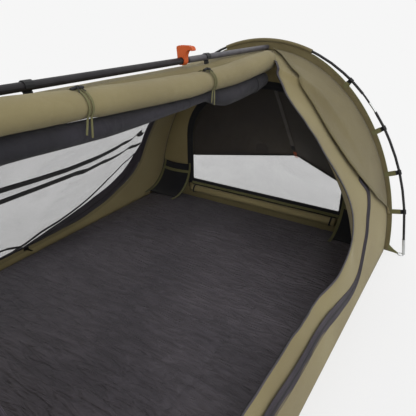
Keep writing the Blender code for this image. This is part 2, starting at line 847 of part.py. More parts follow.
def make_ridge_clips(material, orange):
    bore = ridge_radius + slack
    for name, end in (("head", 1), ("foot", -1)):
        place_x = end * ridge_clip_place
        reach = ridge_height - strip_crown(place_x) - gap
        outline = hook_outline(bore, ridge_clip_wall, reach, clip_neck)

        def place(across, drop, along, place_x=place_x):
            return (place_x + along, across, ridge_height - drop)

        prism(f"ridge_clip_{name}", outline, place, -ridge_clip_length / 2, ridge_clip_length / 2,
              material, pivot=(place_x, 0.0, ridge_height))
    half = collar_length / 2
    profile = [(collar_place - half, bore), (collar_place - half, bore + collar_wall),
               (collar_place + half, bore + collar_wall), (collar_place + half, bore)]
    pivot = (collar_place, 0.0, ridge_height)
    collar = loft("ridge_hook_collar", ridge_rings(profile), orange, closed=True, pivot=pivot)
    root = bore + collar_wall / 2
    top = bore + collar_wall + collar_tab_rise
    front = half * collar_tab_share
    outline = [(-half, root), (front, root), (front, top - collar_wall),
               (front + collar_lip, top - collar_wall), (front + collar_lip, top), (0.0, top),
               (-half, top - collar_lip)]
    tab = prism("collar_tab", outline, lambda a, b, c: (collar_place + a, c, ridge_height + b),
                -collar_tab_width / 2, collar_tab_width / 2, orange, pivot=pivot)
    combine(collar, tab, "UNION")


# The window hood


def hood_point(turn, share):
    """The hood's outer face: turn 0 to pi over the arch, share 0 at the wall to 1 at the free edge."""
    root = wall_face + 2 * canvas + gap
    wall = np.array((root, -hood_half_width * math.cos(turn), hood_low + hood_rise * math.sin(turn)))
    reach = 1 - abs(abs(wall[1]) - hood_crease) / (hood_half_width - hood_crease)
    if abs(wall[1]) <= hood_crease:
        reach = 1.0
    reach = max(reach, hood_corner_share)
    tip = np.array((root + hood_out * reach, wall[1], hood_low + (hood_tip_height - hood_low) * reach))
    return wall + (tip - wall) * share


def make_hood(material, strap_material, orange):
    crease_turn = math.acos(hood_crease / hood_half_width)
    half = list(np.linspace(math.radians(hood_start_degrees), crease_turn, 10))
    turns = half + [math.pi - turn for turn in half[::-1]]
    grid = [[hood_point(turn, share) for share in np.linspace(0, 1, 6)] for turn in turns]
    sheet("window_hood", grid, canvas, material, (1, 0, 1))
    top, tip = hood_point(math.pi / 2, 0.0), hood_point(math.pi / 2, 1.0)
    top[2] = hood_point(crease_turn, 0.0)[2]
    along = (tip - top) / np.linalg.norm(tip - top)
    inward = np.array((along[2], 0.0, -along[0]))
    length = np.linalg.norm(tip - top) - strap_end
    rings = []
    for run in (strap_start, length):
        ring = []
        for side, depth in ((-1, 0), (1, 0), (1, 1), (-1, 1)):
            sink = canvas + slack + depth * strap_thickness
            ring.append(top + along * run + inward * sink + np.array((0.0, side * strap_width / 2, 0.0)))
        rings.append(ring)
    loft("hood_strap", rings, strap_material)
    centre = tip + along * (loop_radius + loop_wire + gap)
    rings = []
    for a in np.linspace(0, 2 * math.pi, 16, endpoint=False):
        out = along * math.cos(a) + np.array((0.0, math.sin(a), 0.0))
        rings.append([centre + out * (loop_radius + loop_wire * math.cos(b)) + inward * loop_wire * math.sin(b)
                      for b in np.linspace(0, 2 * math.pi, 6, endpoint=False)])
    loft("hood_guy_loop", rings, orange, closed=True)


# The sliders


def make_slider(name, x, side, shares, inside, material):
    """A zip slider flat on the canvas just below its edge, with a pull that hangs from it."""
    upper = side_point(x, 1.0, shares, side)
    lower = side_point(x, edge_chord_share, shares, side)
    up = (upper - lower) / np.linalg.norm(upper - lower)
    out = np.array((0.0, up[2] * side, -up[1] * side))
    if inside:
        out = -out
        upper = upper + out * canvas
    along = np.array((1.0, 0.0, 0.0))
    centre = upper - up * (slider_width / 2 + slack) + out * (slack + slider_thickness / 2)
    outline = [(a * slider_length, b * slider_width) for a, b in slider_corner_shares]
    body = prism(name, outline, lambda a, b, c: centre + along * a + up * b + out * c,
                 -slider_thickness / 2, slider_thickness / 2, material, pivot=centre)
    drop = -up if not inside else out
    lift = out if not inside else up
    drop = (drop + lift * pull_lean_share) / math.hypot(1.0, pull_lean_share)
    root = centre + out * slider_thickness / 2
    outline = [(-pull_width / 2, -pull_thickness), (pull_width / 2, -pull_thickness),
               (pull_width / 2, pull_length), (-pull_width / 2, pull_length)]
    pull = prism(name + "_pull", outline, lambda a, b, c: root + along * a + drop * b + lift * c,
                 -pull_thickness / 2, pull_thickness, material, pivot=centre)
    combine(body, pull, "UNION")


def main():
    clear_scene()
    olive = paint("olive_canvas", (0.258, 0.231, 0.117), 0.9)
    webbing = paint("olive_webbing", (0.112, 0.112, 0.048), 0.8)
    charcoal = paint("charcoal_cloth", (0.024, 0.024, 0.030), 0.85)
    dark_net = paint("dark_net", (0.068, 0.064, 0.078), 0.8)
    hood_cloth = paint("hood_cloth", (0.019, 0.018, 0.015), 0.9)
    black = paint("black_pole", (0.022, 0.021, 0.022), 0.45)
    plastic = paint("black_plastic", (0.015, 0.015, 0.016), 0.4)
    silver = paint("bare_alloy", (0.58, 0.60, 0.60), 0.3, 1.0)
    orange = paint("orange_plastic", (0.693, 0.162, 0.052), 0.45)
    strap = paint("grey_strap", (0.07, 0.063, 0.053), 0.8)

    make_floor(charcoal)
    make_mattress(charcoal)
    make_side("near_side_canvas", near_edge_shares, -1, olive)
    make_side("far_side_canvas", far_edge_shares, 1, olive)
    make_wall("head_wall", 1, True, olive, dark_net)
    make_wall("foot_wall", -1, False, olive, dark_net)
    make_roof_strip(olive)
    make_rolls(olive, dark_net)
    make_tie("near_roll_tie_head", tie_place, webbing)
    make_tie("near_roll_tie_foot", -tie_place, webbing)
    make_far_net(dark_net)
    make_sill_roll(olive)
    make_pocket("near_corner_pocket", -1, charcoal)
    make_pocket("far_corner_pocket", 1, charcoal)
    for label, end in (("head", 1), ("foot", -1)):
        make_band(f"{label}_seam_band", end, webbing)
        make_hoop(label, end, black, silver)
        make_clips(label, end, plastic)
        make_foot_pins(label, end, silver)
    make_ridge(black)
    make_ridge_clips(plastic, orange)
    make_hood(hood_cloth, strap, orange)
    make_slider("near_zip_slider", near_slider_place, -1, near_edge_shares, False, plastic)
    make_slider("far_mesh_slider", far_slider_place, 1, far_edge_shares, True, plastic)


main()
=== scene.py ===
import math

import bmesh
import bpy
import numpy as np
from mathutils import Matrix, Vector, noise


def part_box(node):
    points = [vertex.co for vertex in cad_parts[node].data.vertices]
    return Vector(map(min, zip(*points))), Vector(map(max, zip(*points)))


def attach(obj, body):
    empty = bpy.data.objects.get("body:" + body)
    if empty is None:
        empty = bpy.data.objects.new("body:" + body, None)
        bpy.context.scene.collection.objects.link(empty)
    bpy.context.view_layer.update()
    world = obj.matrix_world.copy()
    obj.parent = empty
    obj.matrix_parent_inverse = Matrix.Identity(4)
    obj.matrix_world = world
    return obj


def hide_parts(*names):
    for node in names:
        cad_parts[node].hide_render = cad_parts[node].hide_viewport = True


# Looks for the dome swag: canvas, net, webbing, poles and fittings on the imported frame.
# Metres, +Z up, +X to the head end, +Y to the netted side.

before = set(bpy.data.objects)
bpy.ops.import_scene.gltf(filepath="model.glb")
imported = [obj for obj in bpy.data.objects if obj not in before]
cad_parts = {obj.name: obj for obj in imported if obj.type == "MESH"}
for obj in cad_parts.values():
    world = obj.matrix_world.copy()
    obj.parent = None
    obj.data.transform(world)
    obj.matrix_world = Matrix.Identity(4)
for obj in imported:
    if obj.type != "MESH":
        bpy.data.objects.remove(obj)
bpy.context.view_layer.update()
print("frame loaded")

body = {"halfLength": 1.028, "halfWidth": 0.75, "height": 0.955, "endHeight": 0.990, "riseStart": 0.80,
        "riseEnd": 0.99, "hemLift": 0.001, "stripHalf": 0.05, "planeX": 1.0308, "wallFace": 1.0336}
topAngle = math.acos(body["stripHalf"] / body["halfWidth"])

# Upper edge of each side: share of the half length, share of the way up, how far it is drawn in
nearEdge = np.array([
    (-1.0, 1.0, 0.0), (-0.9475, 1.0, 0.0), (-0.9435, 0.745, 0.0), (-0.9395, 0.547, 0.0),
    (-0.930, 0.366, 0.01), (-0.900, 0.235, 0.03), (-0.855, 0.1815, 0.047), (0.1167, 0.1815, 0.047),
    (0.225, 0.196, 0.014), (0.300, 0.232, -0.020), (0.345, 0.290, -0.052), (0.378, 0.349, -0.062),
    (0.404, 0.406, -0.052), (0.428, 0.452, -0.026), (0.4461, 0.5023, 0.0), (0.4849, 0.5536, 0.026),
    (0.5548, 0.6046, 0.072), (0.6218, 0.6829, 0.106), (0.6996, 0.7626, 0.107), (0.745, 0.825, 0.0780),
    (0.778, 0.892, 0.0), (0.8317, 0.925, 0.0), (0.8342, 1.0, 0.0), (1.0, 1.0, 0.0)])
farEdge = np.array([
    (-1.0, 1.0, 0.0), (-0.934, 1.0, 0.0), (-0.929, 0.745, 0.0), (-0.919, 0.547, 0.0),
    (-0.905, 0.366, 0.0), (-0.8755, 0.20, 0.0), (-0.8366, 0.0711, 0.0), (0.0078, 0.0711, 0.0),
    (0.3453, 0.0852, 0.0), (0.5418, 0.1239, 0.0), (0.7344, 0.2219, 0.0), (0.7588, 0.3026, 0.0),
    (0.7733, 0.4515, 0.0), (0.7782, 0.66, 0.0), (0.7811, 1.0, 0.0), (1.0, 1.0, 0.0)])


# Shared by camera, light and materials

def placed(name, data):
    made = bpy.data.objects.new(name, data)
    bpy.context.collection.objects.link(made)
    return made


def colour(text):
    values = [int(text[i:i + 2], 16) / 255 for i in (0, 2, 4)]
    linear = [v / 12.92 if v <= 0.04045 else ((v + 0.055) / 1.055) ** 2.4 for v in values]
    return (*linear, 1.0)


def setInputs(made, values):
    # Another node's output among the values is linked, anything else is set
    for label, value in values.items():
        if isinstance(value, bpy.types.NodeSocket):
            made.id_data.links.new(value, made.inputs[label])
        else:
            made.inputs[label].default_value = value


def addNode(tree, kind, values=None, **settings):
    # A node with its settings and inputs, given back as its outputs
    made = tree.nodes.new(kind)
    for label, value in settings.items():
        setattr(made, label, value)
    setInputs(made, values or {})
    return made.outputs


def maths(tree, operation, *values):
    return addNode(tree, "ShaderNodeMath", dict(enumerate(values)), operation=operation)[0]


def mapped(tree, value, old, new):
    values = {"Value": value, "From Min": old[0], "From Max": old[1], "To Min": new[0], "To Max": new[1]}
    return addNode(tree, "ShaderNodeMapRange", values)[0]


def brightened(tree, tone, share):
    return addNode(tree, "ShaderNodeVectorMath", {0: tone, "Scale": share}, operation="SCALE")[0]


def newMaterial(name, base, roughness, metallic=0.0, sheen=0.0, specular=0.5):
    material = bpy.data.materials.new(name)
    material.use_nodes = True
    material.diffuse_color = colour(base)
    shader = material.node_tree.nodes["Principled BSDF"]
    setInputs(shader, {"Base Color": colour(base), "Roughness": roughness, "Metallic": metallic,
                       "Specular IOR Level": specular, "Sheen Weight": sheen, "Sheen Roughness": 0.5})
    return material, material.node_tree, shader


# Camera and light

view = {"place": (-1.154, -1.019, 1.185), "right": (0.5363, -0.8440, 0.0),
        "up": (0.3575, 0.2272, 0.9059), "ahead": (0.7646, 0.4859, -0.4235), "lens": 37.0}


def makeCamera():
    data = bpy.data.cameras.new("camera")
    data.lens = view["lens"]
    data.sensor_width = 36.0
    data.clip_start = 0.01
    camera = placed("camera", data)
    axes = Matrix((view["right"], view["up"], [-v for v in view["ahead"]])).transposed()
    camera.matrix_world = Matrix.Translation(view["place"]) @ axes.to_4x4()
    bpy.context.scene.camera = camera


studio = {"floorColour": "f8f8f8", "backColour": "f6f6f6", "worldStrength": 0.62, "reach": 60.0,
          "shrink": (0.97, 1.28, 0.0), "fadeFrom": (1.0, 2.3), "fadeTo": (0.74, 1.0),
          "lamps": [("lampKey", (-1.3, -1.6, 1.5), 0.95, 60), ("lampHead", (2.2, -1.0, 2.2), 0.22, 80),
                    ("lampBack", (0.2, 2.4, 2.6), 0.20, 80)]}


def makeStudio():
    # White light all round, seen and mirrored as the backdrop's own colour
    scene = bpy.context.scene
    scene.view_settings.view_transform = "Standard"
    scene.world = bpy.data.worlds.new("studio")
    scene.world.use_nodes = True
    tree = scene.world.node_tree
    tree.nodes.clear()
    rays = addNode(tree, "ShaderNodeLightPath")
    direct = maths(tree, "MAXIMUM", rays["Is Camera Ray"], rays["Is Glossy Ray"])
    share = maths(tree, "MAXIMUM", direct, rays["Is Transmission Ray"])
    lit = addNode(tree, "ShaderNodeBackground", {"Color": (1, 1, 1, 1), "Strength": studio["worldStrength"]})
    seen = addNode(tree, "ShaderNodeBackground", {"Color": colour(studio["backColour"])})
    mix = addNode(tree, "ShaderNodeMixShader", {0: share, 1: lit[0], 2: seen[0]})
    addNode(tree, "ShaderNodeOutputWorld", {"Surface": mix[0]})
    for name, place, strength, spread in studio["lamps"]:
        data = bpy.data.lights.new(name, "SUN")
        data.energy = strength
        data.angle = math.radians(spread)
        lamp = placed(name, data)
        lamp.location = place
        lamp.rotation_euler = (-Vector(place)).to_track_quat("-Z", "Y").to_euler()


def makeFloor():
    # Away from the swag the floor takes the backdrop's colour, so that no horizon shows
    material, tree, shader = newMaterial("studioFloor", studio["floorColour"], 0.9, specular=0.1)
    place = addNode(tree, "ShaderNodeTexCoord")
    shrunk = addNode(tree, "ShaderNodeMapping", {"Vector": place["Object"], "Scale": studio["shrink"]})
    length = addNode(tree, "ShaderNodeVectorMath", {0: shrunk[0]}, operation="LENGTH")
    rays = addNode(tree, "ShaderNodeLightPath")
    fade = mapped(tree, length["Value"], studio["fadeFrom"], studio["fadeTo"])
    share = maths(tree, "MULTIPLY", fade, rays["Is Camera Ray"])
    glow = addNode(tree, "ShaderNodeEmission", {"Color": colour(studio["backColour"]), "Strength": 1.0})
    blend = addNode(tree, "ShaderNodeMixShader", {0: share, 1: shader.outputs[0], 2: glow[0]})
    setInputs(tree.nodes["Material Output"], {"Surface": blend[0]})
    mesh = bpy.data.meshes.new("floor")
    reach = studio["reach"]
    corners = [(-reach, -reach, 0), (reach, -reach, 0), (reach, reach, 0), (-reach, reach, 0)]
    mesh.from_pydata(corners, [], [(0, 1, 2, 3)])
    mesh.materials.append(material)
    placed("floor", mesh)


makeCamera()
makeStudio()
makeFloor()
print("camera and studio made")


# Materials

def colourNoise(material, base, second, scale, fine=0.0):
    # Two close tones in slow patches, with a finer grain over them
    tree = material.node_tree
    place = addNode(tree, "ShaderNodeTexCoord")["Object"]
    patches = addNode(tree, "ShaderNodeTexNoise", {"Vector": place, "Scale": scale, "Detail": 5})
    tones = tree.nodes.new("ShaderNodeValToRGB")
    for element, mark, tone in zip(tones.color_ramp.elements, (0.35, 0.65), (base, second)):
        element.position = mark
        element.color = colour(tone)
    setInputs(tones, {"Fac": patches["Fac"]})
    result = tones.outputs["Color"]
    if fine:
        grain = addNode(tree, "ShaderNodeTexNoise", {"Vector": place, "Scale": 420.0, "Detail": 2})
        spread = mapped(tree, grain["Fac"], (0.25, 0.75), (1.0 - fine, 1.0 + fine))
        result = brightened(tree, result, spread)
    setInputs(tree.nodes["Principled BSDF"], {"Base Color": result})
    return tones.outputs["Color"]


def threadWaves(tree, count):
    # Sine waves both ways from the piece's own cloth map, which is in metres
    place = addNode(tree, "ShaderNodeTexCoord")
    split = addNode(tree, "ShaderNodeSeparateXYZ", {0: place["UV"]})
    return [maths(tree, "SINE", maths(tree, "MULTIPLY", split[axis], count * math.pi)) for axis in ("X", "Y")]


def noiseHeight(tree, scale, stretch=(1, 1, 1), detail=3, distortion=0.0):
    place = addNode(tree, "ShaderNodeTexCoord")
    mapping = addNode(tree, "ShaderNodeMapping", {"Vector": place["Object"], "Scale": stretch})
    return addNode(tree, "ShaderNodeTexNoise", {"Vector": mapping[0], "Scale": scale, "Detail": detail,
                                                "Distortion": distortion})["Fac"]


def addBump(material, heights):
    # heights: (output, strength, depth in metres) laid one over another
    tree = material.node_tree
    below = {}
    for height, strength, depth in heights:
        values = {"Strength": strength, "Distance": depth, "Height": height, **below}
        below = {"Normal": addNode(tree, "ShaderNodeBump", values)["Normal"]}
    setInputs(tree.nodes["Principled BSDF"], below)


def clothMaterial(name, base, second, weave=700.0, rough=0.85, sheen=0.15, patch=3.5, crease=0.35, fine=0.06):
    material, tree, _ = newMaterial(name, base, rough, sheen=sheen, specular=0.25)
    colourNoise(material, base, second, patch, fine=fine)
    soft = noiseHeight(tree, 16.0, detail=4, distortion=0.6)
    threads = maths(tree, "MULTIPLY", *threadWaves(tree, weave * 2))
    addBump(material, [(soft, crease, 0.006), (threads, 0.5, 0.0004)])
    return material


def threadMaterial(name, base, rough, tones, scale, sheen=0.2, specular=0.3):
    material = newMaterial(name, base, rough, sheen=sheen, specular=specular)[0]
    colourNoise(material, *tones, scale)
    return material


def mattressMaterial():
    # Fine crinkles, mostly across the bed, over broad soft dents
    material, tree, shader = newMaterial("crinkledCover", "454248", 0.60, sheen=0.05, specular=0.35)
    base = colourNoise(material, "4a464c", "585359", 3.0)
    crinkle = noiseHeight(tree, 15.0, stretch=(3.0, 0.62, 1.0), detail=2, distortion=1.1)
    cross = noiseHeight(tree, 9.0, stretch=(2.0, 1.3, 1.0), detail=2, distortion=1.6)
    dents = noiseHeight(tree, 5.0, detail=2)
    addBump(material, [(dents, 0.35, 0.03), (cross, 0.7, 0.014), (crinkle, 0.9, 0.020)])
    # Painted shade and highlight: the cover's colour darkens in the crinkles' hollows and lightens on their
    # ridges, following the crinkle bump's own noise.
    tone = mapped(tree, crinkle, (0.36, 0.64), (0.86, 1.20))
    setInputs(shader, {"Base Color": brightened(tree, base, tone)})
    return material


def netMaterial(name, thread, cover, holes):
    # Knitted net: threads cover a share of it, and the holes between them let light through
    material, tree, shader = newMaterial(name, thread, 0.7, sheen=0.1, specular=0.3)
    colourNoise(material, thread, thread, 5.0, fine=0.12)
    peaks = [maths(tree, "ABSOLUTE", wave) for wave in threadWaves(tree, holes)]
    most = maths(tree, "MINIMUM", *peaks)
    spread = mapped(tree, most, (0.15, 0.75), (min(1.0, cover + 0.22), cover - 0.16))
    # Slow patches thin and thicken the net's cover: partly the net's folds, partly painted shade darkening it
    # in soft patches.
    foldsAndShade = noiseHeight(tree, 4.0, stretch=(1.0, 1.0, 2.2), detail=3, distortion=1.2)
    coverFoldsAndShade = mapped(tree, foldsAndShade, (0.3, 0.7), (0.95, 1.07))
    setInputs(shader, {"Alpha": maths(tree, "MULTIPLY", spread, coverFoldsAndShade)})
    return material


def coatedMetal(name, base, second, rough, metallic=0.0):
    # Satin coating with small rubs and a fine grain
    material, tree, shader = newMaterial(name, base, rough, metallic=metallic, specular=0.28)
    colourNoise(material, base, second, 26.0, fine=0.06)
    rubs = noiseHeight(tree, 38.0, detail=6)
    setInputs(shader, {"Roughness": mapped(tree, rubs, (0.0, 1.0), (rough - 0.10, rough + 0.14))})
    addBump(material, [(noiseHeight(tree, 900.0, detail=2), 0.12, 0.0002)])
    return material


canvasOutside = clothMaterial("oliveCanvas", "887c58", "938862", patch=2.6, crease=0.45)
# Painted shade: a darker copy of the olive canvas for the storm flap and the seam bands at the hoops,
# standing in for the shade on them.
shadedCanvas = clothMaterial("shadedCanvas", "6d6345", "786e4e", patch=4.0, crease=0.55)
# Painted light: a lighter copy of the olive canvas for the faces inside the shelter, lifting its shaded
# inside.
litCanvasInside = clothMaterial("oliveCanvasInsidePaintedLight", "9b8d64", "a5986f", patch=2.6, crease=0.55)
canvasRolled = clothMaterial("rolledCanvas", "867b59", "928762", patch=3.2, crease=0.60)
hoodCanvas = clothMaterial("hoodCanvas", "8a8360", "958d68", patch=2.6, crease=0.4)
# Painted shade: a dark copy of the hood canvas for the hood's underside, which lies in shade.
hoodShadedUnderside = clothMaterial("hoodShadedUnderside", "4d463b", "5a5246", patch=3.0, crease=0.5)
tubCloth = clothMaterial("coatedTubCloth", "2e2f31", "3a3b3d", rough=0.55, sheen=0.0, patch=5.0)
pocketCloth = clothMaterial("pocketCloth", "1b1b1f", "232328", rough=0.8, patch=5.0)
webbingOlive = clothMaterial("oliveWebbing", "6a6844", "757350", weave=520.0, patch=9.0, fine=0.10)
bindingBlack = clothMaterial("blackBinding", "222225", "2b2b2f", weave=600.0, patch=8.0)
zipTape = clothMaterial("zipTape", "37323a", "433d45", weave=620.0, patch=8.0)
strapGrey = clothMaterial("greyWebbing", "7f7a72", "8b867d", weave=520.0, patch=9.0)
loopOrange = clothMaterial("orangeWebbing", "c9572f", "d66538", weave=520.0, patch=9.0)
cordBlack = clothMaterial("blackCord", "1d1d20", "28282c", weave=450.0, patch=20.0)
rolledNetCloth = clothMaterial("rolledNet", "222127", "2e2c34", weave=420.0, rough=0.7, patch=6.0, crease=0.8)
threadOlive = threadMaterial("oliveThread", "716b48", 0.75, ("6b6644", "7b7550"), 60.0)
threadDark = threadMaterial("darkThread", "3a3a3d", 0.7, ("333336", "444448"), 60.0)
zipTeeth = threadMaterial("zipTeeth", "1e1c21", 0.42, ("1a181c", "262329"), 90.0, sheen=0.0, specular=0.5)
mattressCover = mattressMaterial()
farNetCloth = netMaterial("farNet", "3c3a40", 0.50, 420.0)
windowNetCloth = netMaterial("windowNet", "3a383c", 0.42, 420.0)
poleBlack = coatedMetal("blackPoleCoat", "1f1f20", "2a2a2b", 0.42)
ridgeBlack = coatedMetal("blackRidgeCoat", "201e21", "2a282b", 0.50)
ridgeEnd = coatedMetal("ridgeHeadEnd", "4c4a4f", "5a585d", 0.44)
alloySilver = coatedMetal("bareAlloy", "cdcfcf", "bfc2c3", 0.30, metallic=0.9)
pinSteel = coatedMetal("platedSteel", "c2c4c5", "aeb1b3", 0.28, metallic=1.0)
plasticBlack = coatedMetal("mouldedBlack", "161617", "1f1f21", 0.45)
plasticOrange = coatedMetal("mouldedOrange", "d0602c", "c65726", 0.48)
zipMetal = coatedMetal("sliderCoat", "1a1a1c", "2b2b2e", 0.35, metallic=0.3)
print("materials made")


# Shared shapes

def ramp(x, low, high):
    return min(1.0, max(0.0, (x - low) / (high - low)))


def crownHeight(x):
    rise = body["endHeight"] - body["height"]
    return body["height"] + rise * ramp(abs(x), body["riseStart"], body["riseEnd"])


def lowAngle(x):
    return math.asin(body["hemLift"] / crownHeight(x))


def edgeAt(x, shares):
    up = np.interp(x / body["halfLength"], shares[:, 0], shares[:, 1])
    drawn = np.interp(x / body["halfLength"], shares[:, 0], shares[:, 2])
    return up * topAngle, drawn * body["halfWidth"]


def archPoint(x, angle, drawn, sign):
    across = body["halfWidth"] * math.cos(angle) - drawn
    return np.array((x, sign * across, crownHeight(x) * math.sin(angle)))


def sidePoint(x, share, shares, sign):
    edge, drawn = edgeAt(x, shares)
    angle = lowAngle(x) + share * (edge - lowAngle(x))
    return archPoint(x, angle, drawn * share**3, sign)


def shareAt(x, angle, shares):
    # How far a place is on the way from a side's hem up to its free edge
    edge, _ = edgeAt(x, shares)
    return min(1.0, (angle - lowAngle(x)) / max(edge - lowAngle(x), 1e-3))


def surfaceAt(x, angle, shares, sign, lift=0.0):
    # A point on a side's outer face by its angle up the arch, lifted off it
    drawn = edgeAt(x, shares)[1] * shareAt(x, angle, shares) ** 3
    out = np.array((0.0, sign * math.cos(angle), math.sin(angle) * body["halfWidth"] / crownHeight(x)))
    return archPoint(x, angle, drawn, sign) + out / np.linalg.norm(out) * lift


def archWay(sign):
    # The way straight out of the arch on one side, as a function of the place
    return lambda p: (0, sign * max(sign * p[1], 0.02) / 0.5625, p[2] / 0.91)


def bumps(x, y, z):
    return noise.noise(Vector((x, y, z)))


def ripple(x, y, seed, stretch=(3.0, 3.0)):
    slow = bumps(x * stretch[0], y * stretch[1], seed)
    return slow + 0.45 * bumps(x * stretch[0] * 2.7, y * stretch[1] * 2.7, seed + 9.0)


def between(marks, places, table):
    # Rows of a table read off between its own places
    return np.stack([np.interp(marks, places, column) for column in np.array(table, float).T], axis=-1)


def lengthsAlong(points):
    return np.concatenate(([0.0], np.cumsum(np.linalg.norm(np.diff(points, axis=0), axis=1))))


def evenly(points, count):
    # Places at even steps round a closed outline
    steps = lengthsAlong(points)
    return between(np.linspace(0, steps[-1], count, endpoint=False), steps, points)


def smoothPath(points, count):
    points = np.array(points, float)
    steps = lengthsAlong(points)
    slopes = np.gradient(points, steps, axis=0)
    places = np.linspace(0.0, steps[-1], count)
    cells = np.clip(np.searchsorted(steps, places, side="right") - 1, 0, len(points) - 2)
    size = (steps[cells + 1] - steps[cells])[:, None]
    t = (places - steps[cells])[:, None] / size
    a, b, p, q = points[cells], points[cells + 1], slopes[cells] * size, slopes[cells + 1] * size
    return ((2 * t**3 - 3 * t**2 + 1) * a + (t**3 - 2 * t**2 + t) * p
            + (3 * t**2 - 2 * t**3) * b + (t**3 - t**2) * q)


def ringPoints(centre, radius, turns, first, second):
    # Places round a centre, and the way out of it at each
    outs = [math.cos(t) * np.array(first, float) + math.sin(t) * np.array(second, float) for t in turns]
    return [centre + radius * out for out in outs], np.array(outs)


def fullTurn(count):
    return np.linspace(0, 2 * math.pi, count, endpoint=False)


def turnOut(mesh, facing):
    # Turns the skin over where it looks away from a fixed way, a function's, or out of the origin
    total = 0.0
    for polygon in mesh.polygons:
        way = facing(polygon.center) if callable(facing) else facing
        total += polygon.normal.dot(polygon.center if way is None else Vector(way)) * polygon.area
    if total < 0:
        mesh.flip_normals()


def surface(name, rows, material, wrap=False, loop=False, caps=False, facing=None, sharp=38):
    # A skin over rows of points, with a map in metres for the cloth patterns
    rows = np.array(rows, float)
    count, width = rows.shape[:2]
    full = np.concatenate((rows, rows[:, :1]), axis=1) if wrap else rows
    full = np.concatenate((full, full[:1]), axis=0) if loop else full
    across = np.zeros(full.shape[:2])
    across[:, 1:] = np.cumsum(np.linalg.norm(np.diff(full, axis=1), axis=2), axis=1)
    along = np.zeros(full.shape[:2])
    along[1:] = np.cumsum(np.linalg.norm(np.diff(full, axis=0), axis=2), axis=0)
    faces, maps = [], []
    for i in range(full.shape[0] - 1):
        for j in range(full.shape[1] - 1):
            corners = ((i, j), (i, j + 1), (i + 1, j + 1), (i + 1, j))
            faces.append([(a % count) * width + b % width for a, b in corners])
            maps += [(across[a, b], along[a, b]) for a, b in corners]
    if caps:
        for ring, order in ((0, range(width - 1, -1, -1)), (count - 1, range(width))):
            middle = rows[ring].mean(axis=0)
            _, _, axes = np.linalg.svd(rows[ring] - middle)
            faces.append([ring * width + j for j in order])
            maps += [tuple((rows[ring][j] - middle) @ axes[:2].T) for j in order]
    mesh = bpy.data.meshes.new(name)
    mesh.from_pydata([tuple(p) for p in rows.reshape(-1, 3)], [], faces)
    layer = mesh.uv_layers.new(name="cloth")
    layer.data.foreach_set("uv", np.array(maps, float).ravel())
    mesh.materials.append(material)
    mesh.update()
    turnOut(mesh, facing)
    mesh.shade_smooth()
    mesh.set_sharp_from_angle(angle=math.radians(sharp))
    return placed(name, mesh)


def bake(piece):
    graph = bpy.context.evaluated_depsgraph_get()
    done = bpy.data.meshes.new_from_object(piece.evaluated_get(graph), depsgraph=graph)
    piece.modifiers.clear()
    old, piece.data = piece.data, done
    bpy.data.meshes.remove(old)
    return piece


def cornersOf(piece):
    return np.array([v.co for v in piece.data.vertices])


def thicken(piece, thickness, lining=None, offset=-1.0):
    shell = piece.modifiers.new("shell", "SOLIDIFY")
    shell.thickness = thickness
    shell.offset = offset
    shell.use_even_offset = True
    if lining:
        piece.data.materials.append(lining)
        shell.material_offset = 1
    return bake(piece)


def bevel(piece, width, segments):
    edges = piece.modifiers.new("edges", "BEVEL")
    edges.width = width
    edges.segments = segments
    edges.limit_method = "ANGLE"
    edges.angle_limit = math.radians(32)
    edges.harden_normals = True
    return bake(piece)


def closeMiddle(piece, across, rise):
    # Fills the small hole that rings of points leave in the middle of an end wall
    fill = bmesh.new()
    fill.from_mesh(piece.data)
    edges = [e for e in fill.edges if e.is_boundary and abs(e.verts[0].co.y) < across
             and abs(e.verts[0].co.z - wall["middle"]) < rise]
    bmesh.ops.holes_fill(fill, edges=edges)
    fill.to_mesh(piece.data)
    fill.free()


def joined(name, pieces):
    # One piece out of several meshes, each keeping its own material
    made = bmesh.new()
    materials = []
    for piece in pieces:
        start = len(made.faces)
        made.from_mesh(piece.data)
        made.faces.ensure_lookup_table()
        slots = list(piece.data.materials)
        for face in made.faces[start:]:
            material = slots[face.material_index]
            if material not in materials:
                materials.append(material)
            face.material_index = materials.index(material)
    mesh = bpy.data.meshes.new(name)
    made.to_mesh(mesh)
    made.free()
    for material in materials:
        mesh.materials.append(material)
    for piece in pieces:
        old = piece.data
        bpy.data.objects.remove(piece)
        bpy.data.meshes.remove(old)
    return placed(name, mesh)


def framesAlong(points, outs, closed=False):
    # (point, across, out) all along a path; outs is one way, one a point, or a function of the point
    points = np.array(points, float)
    if closed:
        tangents = np.roll(points, -1, axis=0) - np.roll(points, 1, axis=0)
    else:
        tangents = np.gradient(points, axis=0)
    stations = []
    for i, (point, tangent) in enumerate(zip(points, tangents)):
        way = outs(point) if callable(outs) else (outs[i] if np.ndim(outs) == 2 else outs)
        tangent = tangent / np.linalg.norm(tangent)
        out = np.array(way, float)
        out = out - tangent * (out @ tangent)
        out = out / np.linalg.norm(out)
        stations.append((point, np.cross(tangent, out), out))
    return stations


def shifted(stations, aside, lift):
    return [point + aside * across + lift * out for point, across, out in stations]


def sweep(name, stations, profile, material, closed=False, scales=None):
    rows = []
    for i, (point, across, out) in enumerate(stations):
        size = 1.0 if scales is None else scales[i]
        rows.append([point + size * (a * across + b * out) for a, b in profile])
    return surface(name, rows, material, wrap=True, loop=closed, caps=not closed)


def roundProfile(radius, sides, aside=0.0, lift=0.0):
    return [(aside + radius * math.cos(t), lift + radius * math.sin(t)) for t in fullTurn(sides)]


def flatProfile(width, thickness, aside=0.0, lift=0.0):
    half, edge = width / 2, thickness * 0.4
    points = [(-half + edge, 0), (0, 0), (half - edge, 0), (half, edge), (half, thickness - edge),
              (half - edge, thickness), (0, thickness * 1.06), (-half + edge, thickness),
              (-half, thickness - edge), (-half, edge)]
    return [(aside + a, lift + b) for a, b in points]


